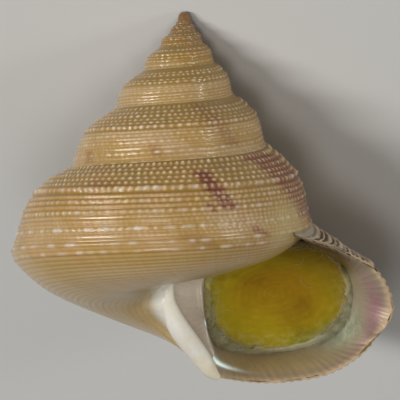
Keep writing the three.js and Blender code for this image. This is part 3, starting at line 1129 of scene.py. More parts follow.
    def relief(self, turn: np.ndarray, place: np.ndarray) -> tuple[np.ndarray, dict[str, np.ndarray]]:
        """How far the skin is raised, and the values that colour it.

        Formula: at each point the highest of the cords, plus the lip's flare over its
        shoulder, less the groove behind the lip under the whorl above.

        Args:
            turn: The turns of the grid's points.
            place: Their places along the line.

        Returns:
            The heights at the size turn's size, and the paints by name.
        """
        rng = np.random.default_rng(SEED)
        growth_turn = turn - self.lip_turn(self.row(place)) + 1
        calm = between(*self.calm_turns, turn) * smooth_step(*self.calm_places, place)
        crisp = smooth_step(*self.crisp_growth, growth_turn) * (1 - 0.85 * calm)
        level = self.level(turn, place, growth_turn, calm)
        values = [np.zeros_like(place) for _ in range(4)]
        grid = np.linspace(self.first_turn, self.grid_end, self.grid_steps)
        for cord in self.cords:
            x = (place - cord.place) / (cord.half_width * (1 + 0.7 * smooth_step(*self.young_turns, turn)))
            near = np.abs(x) < 1
            parts = self.cord_values(cord, rng, grid, turn[near], x[near], crisp[near])
            parts[0] = parts[0] * level[near]
            for value, part in zip(values, parts):
                value[near] = np.maximum(value[near], part)
        raised, ridge, bead, dash = values
        flare, flare_start, flare_end = self.lip_flare
        flared = between(*self.flare_places, place) * smooth_step(flare_start, flare_end, growth_turn) ** 1.5
        sunk = between(*self.sunk_growth, growth_turn) * smooth_step(*self.sunk_places, place)
        young = 0.8 * smooth_step(*self.young_paint, turn)
        width = np.maximum(COIL.growth(turn)[0], self.least_width)
        return raised + flare * flared - self.lip_sink * sunk, {
            "ridge": ridge,
            "bead": bead,
            "dash": dash,
            "blotch": self.flame_paint(growth_turn, place, rng) * (1 - 0.5 * ridge),
            "under": smooth_step(*self.under_places, place),
            "young": young,
            "navel": smooth_step(*self.navel_places, place),
            "bare": smooth_step(*self.bare_places, place),
            "soft": np.maximum(0.7 * smooth_step(*self.soft_places, place), calm) * (1 - young),
            "aged": smooth_step(*self.aged_growth, growth_turn) * smooth_step(*self.aged_places, place),
            "glaze": self.glaze_paint(turn, place),
            "along": growth_turn * 2 * np.pi * self.paint_radius * width,
            "across": place * width,
        }

    def glaze_paint(self, turn: np.ndarray, place: np.ndarray) -> np.ndarray:
        """The yellowish glaze on the body whorl beside the mouth.

        Args:
            turn: The points' turns.
            place: Their places.

        Returns:
            Its strength: most on the side at the mouth's corner, some along its rim below.
        """
        side = between(*self.glaze_turns, turn) * between(*self.glaze_places, place)
        rim = between(*self.rim_turns, turn) * between(*self.rim_places, place)
        return np.maximum(0.75 * side, 0.5 * rim)

    def flame_paint(self, growth_turn: np.ndarray, place: np.ndarray, rng: np.random.Generator) -> np.ndarray:
        """Red-brown flames: the listed ones, and a few of chance on the hidden sides.

        Formula: a smooth step down from each flame's middle turn, with its width changed by
        sines of the place, between its ends.

        Args:
            growth_turn: The points' growth turns.
            place: Their places.
            rng: Where the chances come from.

        Returns:
            The flames' strength.
        """
        behind = [
            Flame(turn, start, start + rng.uniform(1, 3.2), rng.uniform(0.006, 0.016), rng.uniform(0.3, 0.8))
            for base in (-3.0, -2.0, -1.0, 0.0)
            for turn, start in zip(rng.uniform(base + 0.52, base + 0.95, 7), rng.uniform(0.2, 5.0, 7))
        ]
        paint = np.zeros_like(place)
        for flame in (*self.flames, *behind):
            ragged = 0.25 * np.sin(place * 9 + flame.turn * 50) + 0.18 * np.sin(place * 23)
            x = np.abs(growth_turn - flame.turn) / (flame.half_width * (1 + ragged))
            ends = between(
                (flame.start - 0.25, flame.start + 0.15), (flame.end + 0.25, flame.end - 0.15), place
            )
            paint = np.maximum(paint, flame.strength * ends * smooth_step(1.4, 0.5, x))
        return paint

    def skin(self, turns: np.ndarray, places: np.ndarray) -> Skin:
        """The skin over a grid; past the bend, the turns are stretched to end in the lip.

        Args:
            turns: The grid's turns.
            places: Its places.

        Returns:
            The skin.
        """
        turn, place = np.meshgrid(turns, places, indexing="ij")
        lip = self.lip_edge(self.row(place))
        share = np.clip((turn - self.bend_turn) / (1 - self.bend_turn), 0, None)
        turn = np.where(turn > self.bend_turn, self.bend_turn + share * (lip - self.bend_turn), turn)
        raised, paints = self.relief(turn, place)
        paints["callus"] = Pillar().callus(self.surface(turn, place, 0.0), turn)
        raised = raised * (1 - 0.85 * paints["callus"])
        points = self.surface(turn, place, raised)
        return Skin(turn, place, raised, points, grid_normals(points), paints)

    def closed_piece(
        self, name: str, skin: Skin, rows: slice, columns: slice, material: bpy.types.Material
    ) -> bpy.types.Object:
        """One closed piece of the skin: its outside, a plain inside, and its two ends.

        Formula: the inside is the bare surface moved in by the wall, which thins towards
        the lip and follows the relief there.

        Args:
            name: The piece's name.
            skin: The whole skin that it is cut from.
            rows: Its turns.
            columns: Its places.
            material: Its finish.

        Returns:
            The object.
        """
        keep = (rows, columns)
        outside, turns, places = skin.points[keep], skin.turn[keep], skin.place[keep]
        back = np.linspace(outside.shape[1] - 1, 0, self.inner_rows).astype(int)
        near_lip = (self.lip_edge(self.row(places)) - turns) / self.lip_taper
        wall = self.wall * np.clip(near_lip, self.lip_thinness, 1)
        follow = self.lip_inside[0] * smooth_step(1.0, 0.2, near_lip) * skin.raised[keep]
        inside = self.surface(turns, places, follow - wall)[:, back]
        points = np.concatenate([outside, inside], axis=1)
        normals = np.concatenate([skin.normals[keep], -skin.normals[keep][:, back]], axis=1)
        paints = {k: np.concatenate([v[keep], v[keep][:, back]], axis=1) for k, v in skin.paints.items()}
        size = points.shape[:2]
        faces = grid_faces(*size)[:, ::-1]
        return make_piece(
            name, points, faces, material, ("shell",), paints, normals, end_caps(*size)
        )

    def build(self, material: bpy.types.Material) -> list[bpy.types.Object]:
        """Builds the pieces: spire, penultimate whorl, last whorl and base in halves.

        Args:
            material: The outside's finish.

        Returns:
            The objects.
        """
        pieces = []
        whole = slice(None)
        for name, start, stop, step, samples in self.early:
            side = np.linspace(0, self.side_end, int(self.side_end / step) + 1)
            side = np.concatenate([[self.places[0]], side])
            skin = self.skin(self.turns_between(start, stop, samples), side)
            pieces.append(self.closed_piece(name, skin, whole, whole, material))
        end = self.places[np.searchsorted(self.table, self.line_end + self.pillar_rows)]
        upper = np.linspace(0, self.side_end, int(self.side_end / self.side_step) + 1)
        upper = np.concatenate([[self.places[0]], upper])
        lower = np.linspace(self.side_end, end, int((end - self.side_end) / self.base_step) + 1)
        late = self.turns_between(self.last_start, 1.0, self.samples_per_bead)
        middle = int(np.searchsorted(late, self.bend_turn))
        skin = self.skin(late, np.concatenate([upper, lower[1:]]))
        seam = len(upper) - 1
        for zone, columns in (("side", slice(0, seam + 1)), ("base", slice(seam, None))):
            for part, rows in (("early", slice(0, middle + 1)), ("late", slice(middle, None))):
                name = f"shell_last_whorl_{zone}_{part}"
                pieces.append(self.closed_piece(name, skin, rows, columns, material))
        return pieces


@dataclass
class Apex:
    """The shell's first, smooth whorl: a small blunt knob."""

    profile: tuple = (
        (0.0, 0.04), (0.16, 0.06), (0.28, 0.13), (0.36, 0.25), (0.42, 0.42), (0.46, 0.60),
        (0.46, 0.78), (0.30, 0.95), (0.0, 1.0),
    )
    sides: int = 64
    steps: int = 48
    lean: float = 0.05
    lean_waves: float = 9.0

    def build(self, material: bpy.types.Material) -> bpy.types.Object:
        """Builds the knob: its profile turned round the axis, leaning to one side.

        Formula: radius times the cosine and sine of an angle, and minus the depth; the
        radius swells by the lean times a cosine of the angle and the depth, like a coil.

        Args:
            material: The outside's finish.

        Returns:
            The object.
        """
        line = smooth_rows(self.profile, np.linspace(0, len(self.profile) - 1, self.steps))[1:-1]
        angle = np.linspace(0, 2 * np.pi, self.sides, endpoint=False)[None, :]
        swell = 1 + self.lean * np.cos(angle + line[:, 1:] * self.lean_waves)
        radius = line[:, :1] * swell
        points = np.stack([radius * np.cos(angle), radius * np.sin(angle), -line[:, 1:] + 0 * angle], -1)
        faces, caps = grid_faces(len(points), self.sides)[:, ::-1], end_caps(len(points), self.sides)
        paints = {
            "young": np.ones(points.shape[:2]),
            "along": points[..., 0] * 3,
            "across": points[..., 2] * 3,
        }
        return make_piece("shell_apex", points, faces, material, ("shell",), paints, None, caps)


@dataclass
class Pillar:
    """The columella: a smooth white fold that winds down the axis into the lip's foot."""

    path: tuple = (
        (-0.44, 0.40, -16.6, 0.44), (-0.44, 0.25, -17.6, 0.44), (-0.44, 0.15, -18.44, 0.45),
        (-0.30, 0.12, -19.34, 0.48), (0.02, 0.15, -20.2, 0.58), (0.44, 0.25, -21.05, 0.70),
        (1.20, 0.55, -22.05, 0.70), (1.97, 0.90, -23.0, 0.64), (2.64, 1.10, -23.88, 0.50),
        (3.26, 1.25, -24.42, 0.22),
    )
    flatness: float = 0.5
    sides: int = 48
    steps: int = 140
    callus_reach: tuple = (1.5, 0.15)
    callus_from: float = 0.3
    callus_depth: float = 15.5
    callus_radius: float = 6.0
    apron_steps: tuple = (90, 30)
    apron_turns: tuple = (0.30, 0.895)
    apron_row: float = 13.3
    apron_ends: tuple = (0.2, 8.5)
    apron_side: tuple = (-0.30, -0.46, 0.0)
    apron_outwards: tuple = (-0.3, -0.8, -0.5)
    apron_reach: float = 0.45
    apron_sink: float = 0.03
    apron_thickness: float = 0.12
    apron_threads: float = 7.0

    def callus(self, points: np.ndarray, turn: np.ndarray) -> np.ndarray:
        """How far the pillar's white runs out over the base.

        Formula: a smooth step of the distance to the nearest of the pillar's rounds.

        Args:
            points: Points of the base.
            turn: Their turns.

        Returns:
            1 at the pillar, 0 away from it.
        """
        line = smooth_rows(self.path, np.linspace(1, len(self.path) - 1, 40))
        near = (turn > self.callus_from) & (points[..., 2] < -self.callus_depth)
        near &= np.hypot(points[..., 0], points[..., 1]) < self.callus_radius
        paint = np.zeros(points.shape[:-1])
        if near.any():
            away = np.linalg.norm(points[near][:, None, :] - line[None, :, :3], axis=-1) - line[None, :, 3]
            paint[near] = smooth_step(*self.callus_reach, away.min(axis=1))
        return paint

    def apron(self, whorls: Whorls, material: bpy.types.Material) -> bpy.types.Object:
        """Builds the callus that spreads from the fold over the middle of the base.

        Formula: from each point of a line round the base a quadratic curve leaves along the
        base's own slope and ends in the fold's side; a second layer lies behind the first.

        Args:
            whorls: The shell's outside.
            material: Its finish.

        Returns:
            The object.
        """
        count, across = self.apron_steps
        turn = np.linspace(*self.apron_turns, count)
        place = np.full(count, float(np.interp(self.apron_row, whorls.table, whorls.places)))
        outer = whorls.surface(turn, place, np.full(count, -self.apron_sink))
        slope = unit(whorls.surface(turn, place + 0.1, np.zeros(count)) - outer)
        line = smooth_rows(self.path, np.linspace(*self.apron_ends, count))
        inner = line[:, :3] + np.array(self.apron_side) * line[:, 3:]
        gap = np.linalg.norm(inner - outer, axis=1, keepdims=True)
        control = outer + slope * gap * self.apron_reach
        v = np.linspace(0, 1, across)[None, :, None]
        front = (1 - v) ** 2 * outer[:, None] + 2 * v * (1 - v) * control[:, None] + v**2 * inner[:, None]
        away = grid_normals(front)
        away = away * np.sign((away @ np.array(self.apron_outwards)).mean())
        back = (front - away * self.apron_thickness)[:, ::-1]
        points = np.concatenate([front, back], axis=1)
        size = points.shape[:2]
        faces = grid_faces(*size)[:, ::-1]
        inwards = np.broadcast_to(np.concatenate([v[0, :, 0], v[0, ::-1, 0]]), size)
        paints = {
            "callus": np.maximum(smooth_step(0.05, 0.65, inwards), self.callus(outer, turn)[:, None]),
            "under": np.ones(size),
            "navel": np.ones(size),
            "ridge": 0.5 + 0.5 * np.cos(2 * np.pi * self.apron_threads * inwards),
            "along": np.arange(count)[:, None] * 0.12 + 0 * inwards,
            "across": inwards * 3,
        }
        return make_piece(
            "shell_apron", points, faces, material, ("shell",), paints, None, end_caps(*size)
        )

    def build(self, material: bpy.types.Material) -> bpy.types.Object:
        """Builds the fold: a flattened round section carried along a smooth path.

        Formula: at each place along the path, the radius times the cosine and sine of an
        angle, in the two directions square to the path, one of them flattened.

        Args:
            material: The pillar's finish.

        Returns:
            The object.
        """
        at = np.linspace(0, len(self.path) - 1, self.steps)
        line = smooth_rows(self.path, at)
        tangent = unit(np.gradient(line[:, :3], axis=0))
        side = unit(np.cross(tangent, np.array([0.0, 1.0, 0.0])))
        out = np.cross(side, tangent)
        angle = np.linspace(0, 2 * np.pi, self.sides, endpoint=False)
        radius = line[:, 3][:, None, None]
        points = line[:, None, :3] + radius * (
            np.cos(angle)[None, :, None] * side[:, None, :]
            + self.flatness * np.sin(angle)[None, :, None] * out[:, None, :]
        )
        inner = np.clip(-np.cos(angle), 0, 1)[None, :] * np.ones((self.steps, 1))
        faces, caps = grid_faces(self.steps, self.sides)[:, ::-1], end_caps(self.steps, self.sides)
        return make_piece(
            "shell_pillar", points, faces, material, ("shell",), {"inner": inner}, None, caps
        )


@dataclass
class Mouth:
    """The mouth's hollow: its wall, its roof under the whorl above, and its lip."""

    wall: tuple = (
        (8.15, 12.75, 0.3, 1.07), (8.85, 13.50, 0.3, 1.04), (9.30, 14.60, 0.3, 1.02),
        (9.48, 15.70, 0.3, 1.01), (9.35, 16.75, 0.4, 1.00), (8.70, 17.70, 0.4, 0.98),
        (7.45, 18.40, 0.4, 0.96), (5.70, 18.90, 0.45, 0.93), (4.20, 18.85, 0.6, 0.925),
        (3.60, 18.15, 0.8, 0.93), (3.05, 17.05, 0.9, 0.94), (2.55, 15.95, 0.8, 0.96),
        (2.25, 14.85, 0.8, 0.99),
    )
    roof: tuple = ((12.1, 1.02), (11.3, 1.04), (10.5, 1.05), (9.8, 1.06), (9.0, 1.07))
    roof_layer: float = 0.45
    roof_polish: float = -0.08
    middle: tuple = (5.9, 16.2)
    widening_span: float = 0.13
    polish_end: float = 0.05
    plane_point: tuple = (10.55, -0.15, -19.6)
    plane_normal: tuple = (0.10, -0.79, -0.60)
    lid_depth: float = 2.5
    deep_turn: float = 0.55
    turn_bounds: tuple = (0.6, 1.25)
    halvings: int = 30
    around: int = 480
    lip_steps: int = 320
    pillar_steps: int = 90
    funnel_steps: int = 30
    deep_steps: int = 22
    rim: float = 0.045
    pillar_lift: float = 0.009
    join_lift: float = 0.004
    fold: float = 0.36
    fold_width: float = 0.11
    fold_path: tuple = ((11.4, 0.26), (12.3, 0.36), (13.3, 0.52), (14.0, 0.74), (16.0, 0.76))
    behind_lip: tuple = (
        (0, -0.5), (1, 0.0), (2, 0.6), (3, 1.2), (4.5, 2.1), (6, 3.0), (7.5, 4.0), (9, 5.0),
        (10, 5.9), (11, 7.0), (12, 7.9), (13, 8.7),
    )
    flare: float = 0.62
    shell_wall: float = 0.02
    back: float = 0.12
    whorls: Whorls = field(default_factory=Whorls)

    def outline(self, share: np.ndarray, turn: np.ndarray, shrink: float) -> np.ndarray:
        """The hollow's wall and roof, carried to each turn.

        Formula: the wall's points are moved away from the hollow's middle by their widening
        near the mouth; the roof is the line of the whorl above with a layer under it. A
        smooth closed curve goes through them all.

        Args:
            share: How far round the outline, 0 to 1.
            turn: The turn of each point.
            shrink: How far the outline is drawn in, in millimetres.

        Returns:
            The points.
        """
        width, height = (g[..., None] for g in COIL.growth(turn))
        wall = np.array(self.wall)
        away = wall[:, :2] - np.array(self.middle)
        away /= np.linalg.norm(away, axis=1, keepdims=True)
        move = wall[:, 2] * smooth_step(wall[:, 3] - self.widening_span, wall[:, 3], turn[..., None])
        move = move - shrink / width
        wall_r = (wall[:, 0] + move * away[:, 0]) * width
        wall_d = (wall[:, 1] + move * away[:, 1]) * height
        roof = np.array(self.roof)
        line = smooth_rows(self.whorls.line, roof[:, 0])
        ahead = smooth_rows(self.whorls.line, roof[:, 0] + 0.2)
        step = ahead - line
        length = np.hypot(step[:, 0], step[:, 1])
        above = [g[..., None] for g in COIL.growth(turn - 1)]
        full = roof[:, 1] - self.polish_end
        polished = smooth_step(roof[:, 1] - self.widening_span, full, turn[..., None])
        layer = self.roof_layer + (self.roof_polish - self.roof_layer) * polished + shrink
        roof_r = line[:, 0] * above[0] + layer * step[:, 1] / length
        roof_d = line[:, 1] * above[1] - layer * step[:, 0] / length
        rows = np.stack([np.concatenate([wall_r, roof_r], -1), np.concatenate([wall_d, roof_d], -1)], -1)
        count = rows.shape[-2]
        place = (share % 1) * count
        i = np.floor(place).astype(int)
        picked = [
            np.take_along_axis(rows, ((i + k) % count)[..., None, None], -2)[..., 0, :]
            for k in (-1, 0, 1, 2)
        ]
        curve = cubic(picked, (place - i)[..., None])
        return COIL.carry(turn, curve[..., 0], curve[..., 1])

    def plane_turns(self, share: np.ndarray, depth: float, shrink: float) -> np.ndarray:
        """The turns at which lines of the hollow meet the plane a depth behind the mouth.

        Formula: the stretch of turns is halved again and again, to the side of the plane.

        Args:
            share: Where round the hollow each line runs, 0 to 1.
            depth: How far behind the mouth's plane.
            shrink: How far the hollow is drawn in.

        Returns:
            The turns.
        """
        low, high = (np.full(share.shape, bound) for bound in self.turn_bounds)
        for _ in range(self.halvings):
            turn = (low + high) / 2
            points = self.outline(share, turn, shrink) - np.array(self.plane_point)
            past = points @ unit(self.plane_normal) > -depth
            low, high = np.where(past, low, turn), np.where(past, turn, high)
        return (low + high) / 2

    def edge(self) -> tuple[np.ndarray, np.ndarray, np.ndarray, np.ndarray]:
        """The edge round the mouth: along the lip, up inside the pillar, and hidden back.

        Returns:
            Its outer and its inner points, its label (the line's row along the lip, 13 to 17
            along the pillar, on to 18 where it is hidden) and the hollow's outline behind it.
        """
        whorls = self.whorls
        row = np.linspace(0, whorls.line_end, self.lip_steps)
        lip, place = whorls.lip_edge(row), np.interp(row, whorls.table, whorls.places)
        raised = whorls.relief(lip, place)[0]
        shown = whorls.surface(lip, place, raised)
        _, follow, thin = whorls.lip_inside
        inner = whorls.surface(lip, place, follow * raised - thin)
        path = np.array(Pillar().path)[:, :3]
        foot = smooth_rows(path, np.linspace(len(path) - 2.3, 0.3, self.pillar_steps))
        count = self.around - len(row) - len(foot)
        corners = np.array([foot[-1], COIL.carry(1.0, 0.4, 12.5), COIL.carry(1.05, 6.6, 13.6), shown[0]])
        hidden = smooth_rows(corners, np.linspace(0, 3, count + 2)[1:-1])
        label = np.concatenate([row, np.linspace(13.05, 17, len(foot)), np.linspace(17, 18, count)])
        sides = len(self.wall) + len(self.roof)
        behind = np.interp(row, *zip(*self.behind_lip))
        rest = np.linspace(12.3, sides + behind[0], count + 2)[1:-1]
        behind = np.concatenate([behind, np.linspace(behind[-1] + 0.05, 12.3, len(foot)), rest])
        outer, inner = np.concatenate([shown, foot, hidden]), np.concatenate([inner, foot, hidden])
        return outer, inner, label, behind / sides

    def build(self, material: bpy.types.Material) -> bpy.types.Object:
        """Builds the lining: from the lip's edge to the lid and on into the dark.

        Formula: behind the edge a quadratic curve runs to the hollow's outline at the lid,
        and meets the hollow's own direction there; then the outline is followed inwards.

        Args:
            material: The nacre.

        Returns:
            The object.
        """
        edge, edge_in, label, share = self.edge()
        on_lip = smooth_step(13.1, 12.9, label)[:, None]
        edge_in = edge_in + unit(self.plane_normal) * self.pillar_lift * (1 - on_lip)
        lid_turn = self.plane_turns(share, self.lid_depth, 0.0)
        lid_ring = self.outline(share, lid_turn, 0.0)
        forward = unit(self.outline(share, lid_turn + 0.01, 0.0) - lid_ring)
        reach = np.clip(((edge_in - lid_ring) * forward).sum(-1, keepdims=True), 0.2, None)
        control = lid_ring + forward * reach * self.flare
        v = np.linspace(0, 1, self.funnel_steps)[:, None, None]
        funnel = (1 - v) ** 2 * edge_in + 2 * v * (1 - v) * control + v**2 * lid_ring
        by_pillar = smooth_step(11.3, 12.8, label) * smooth_step(17.0, 16.0, label)
        ridge = np.interp(label, *zip(*self.fold_path))[None, :, None]
        bulge = self.fold * by_pillar[None, :, None] * np.exp(-(((v - ridge) / self.fold_width) ** 2))
        funnel = funnel + bulge * unit(self.plane_normal)
        rim = edge + unit(self.plane_normal) * (self.rim * on_lip + self.join_lift)
        deep = [
            self.outline(share, lid_turn + (self.deep_turn - lid_turn) * k, 0.0)
            for k in np.linspace(0, 1, self.deep_steps)[1:] ** 1.5
        ]
        face = np.stack([edge, rim, *funnel, *deep])
        points = np.concatenate([face, self.pushed(face)[:1:-3]])
        faces = grid_faces(len(points), self.around, wrap_rows=True)[:, ::-1]
        paints = self.paint(len(points), label)
        return make_piece("shell_mouth_lining", points, faces, material, ("shell",), paints)

    def pushed(self, face: np.ndarray) -> np.ndarray:
        """The rings of a face moved out from their middles: hardly at the lip, more behind."""
        thick = self.shell_wall + self.back * smooth_step(2, self.funnel_steps, np.arange(len(face)))
        return face + unit(face - face.mean(axis=1, keepdims=True)) * thick[:, None, None]

    def paint(self, rings: int, label: np.ndarray) -> dict[str, np.ndarray]:
        """The nacre's bands, by how far round the edge and how deep a point lies.

        Args:
            rings: How many rings of points there are.
            label: The label of each point of a ring.

        Returns:
            Each band's strength, by name.
        """
        around = label[None, :]
        deep = np.arange(rings)[:, None] + 0 * around
        inward = np.clip((deep - 2) / (self.funnel_steps - 1), 0, 3)

        def spot(at: float, wide: float, depth: float, deepness: float) -> np.ndarray:
            """A soft round spot round a label and a share of the funnel's depth."""
            return np.exp(-(((around - at) / wide) ** 2) - ((inward - depth) / deepness) ** 2)

        band = np.interp(around, (0, 3.0, 5.0), (3.4, 3.8, 7.0))
        edge = smooth_step(band, band * 0.25, deep) * smooth_step(13.2, 12.8, around)
        ridge = np.interp(label, *zip(*self.fold_path))[None, :]
        # The painted glint: a thin line along the fold's ridge, brightest at two places.
        along_fold = np.exp(-(((inward - ridge) / 0.055) ** 2))
        beside = np.exp(-(((inward - ridge + 0.12) / 0.22) ** 2))
        lights = np.exp(-(((around - 12.4) / 0.6) ** 2)) + 0.6 * np.exp(-(((around - 14.4) / 0.2) ** 2))
        return {
            "along": around * 3.0 + 0 * deep,
            "across": inward * 3.0,
            "edge": edge,
            "pink": spot(5.5, 2.2, 0.30, 0.22) + 0.5 * spot(8.0, 1.5, 0.12, 0.12),
            "green": spot(7.7, 1.9, 0.78, 0.32),
            # Painted shade under the upper lip.
            "olive": between((-0.5, 0.5), (3.4, 1.6), around) * smooth_step(0.02, 0.16, inward),
            "brown": between((8.5, 10.5), (12.6, 11.4), around) * smooth_step(0.05, 0.4, inward),
            "violet": smooth_step(12.6, 13.6, around) * (1 - edge) * 0.8,
            "pearl": beside * between((11.8, 12.8), (14.8, 13.6), around),
            "gleam": along_fold * lights,
        }


@dataclass
class Lid:
    """The operculum: a thin horn disc, dished, with a fine spiral of many turns."""

    mouth: Mouth
    thickness: float = 0.28
    dish: float = 0.35
    gap: float = 0.14
    roundness: int = 3
    around: int = 200
    rings: int = 90
    spiral_turns: float = 10.0
    ridge: float = 0.002
    rounded_from: float = 0.96
    wobbles: tuple = ((0.006, 9), (0.004, 23))
    paint_up: tuple = (0.0, 0.07, 0.188)
    paint_right: tuple = (0.2, 0.0, 0.0)

    def ring(self) -> tuple[np.ndarray, np.ndarray]:
        """The lid's outline on its plane, and its middle.

        Formula: the hollow's outline, with only its few longest waves kept, so that the
        corners are rounded off.

        Returns:
            The outline's points, and the middle.
        """
        share = np.linspace(0, 1, self.around, endpoint=False)
        turn = self.mouth.plane_turns(share, self.mouth.lid_depth, self.gap)
        waves = np.fft.fft(self.mouth.outline(share, turn, self.gap), axis=0)
        waves[self.roundness + 1:-self.roundness] = 0
        outline = np.fft.ifft(waves, axis=0).real
        return outline, outline.mean(axis=0)

    def build(self, material: bpy.types.Material) -> bpy.types.Object:
        """Builds the disc.

        Formula: the outline drawn in to a share of its size, sunk by the dish times one
        less the share squared, and raised by a cosine of the share's and angle's spiral.

        Args:
            material: The horn.

        Returns:
            The object.
        """
        outline, centre = self.ring()
        normal = unit(self.mouth.plane_normal)
        share = np.linspace(0, 1, self.rings + 1)[1:, None]
        angle = np.linspace(0, 1, self.around, endpoint=False)[None, :]
        spiral = share**0.8 * self.spiral_turns - angle
        wave = 0.5 + 0.5 * np.cos(2 * np.pi * spiral)
        past = np.clip((share - self.rounded_from) / (1 - self.rounded_from), 0, 1)
        rounding = self.thickness / 2 * (1 - np.sqrt(1 - past**2 + TINY))
        lift = -self.dish * (1 - share**2) + self.ridge * wave * (1 - share**8) - rounding
        spread = outline - centre
        wobble = 1 + sum(size * np.sin(angle * 2 * np.pi * waves) * share for size, waves in self.wobbles)
        front = centre + spread * (share * wobble)[..., None] + normal * lift[..., None]
        under = -self.thickness - self.dish * (1 - share**2) + rounding
        back = centre + spread * (share * wobble)[..., None] + normal * (under + 0 * angle)[..., None]
        points = np.concatenate([front, back[::-1]])
        faces = grid_faces(len(points), self.around)
        caps = tuple(ring[::-1] for ring in end_caps(len(points), self.around))

        def both(values: np.ndarray) -> np.ndarray:
            """A paint's values for the front and, row by row backwards, for the back."""
            return np.concatenate([values + 0 * wave, (values + 0 * wave)[::-1]])

        up = (spread @ np.array(self.paint_up))[None, :] * share
        right = (spread @ np.array(self.paint_right))[None, :] * share
        low_left = smooth_step(0.1, -0.45, up) * smooth_step(0.5, -0.1, right)
        film = smooth_step(0.66, 0.95, share) * smooth_step(0.5, -0.2, up) * (0.5 + 0.5 * low_left)
        arc = low_left * 0.8 * np.exp(-(((share - 0.74 - 0.03 * np.sin(angle * 19)) / 0.014) ** 2))
        paints = {
            "lit": both(low_left),
            "rings": both(wave),
            "outer": both(share),
            "rim": both(smooth_step(0.62, 0.95, share) * smooth_step(0.35, -0.45, up)),
            "shaded": both(smooth_step(0.10, 0.85, up + 0.25 * right) * 0.9),
            "film": both(np.maximum(film, arc)),
        }
        return make_piece(
            "operculum_disc", points, faces, material, ("operculum",), paints, None, caps
        )


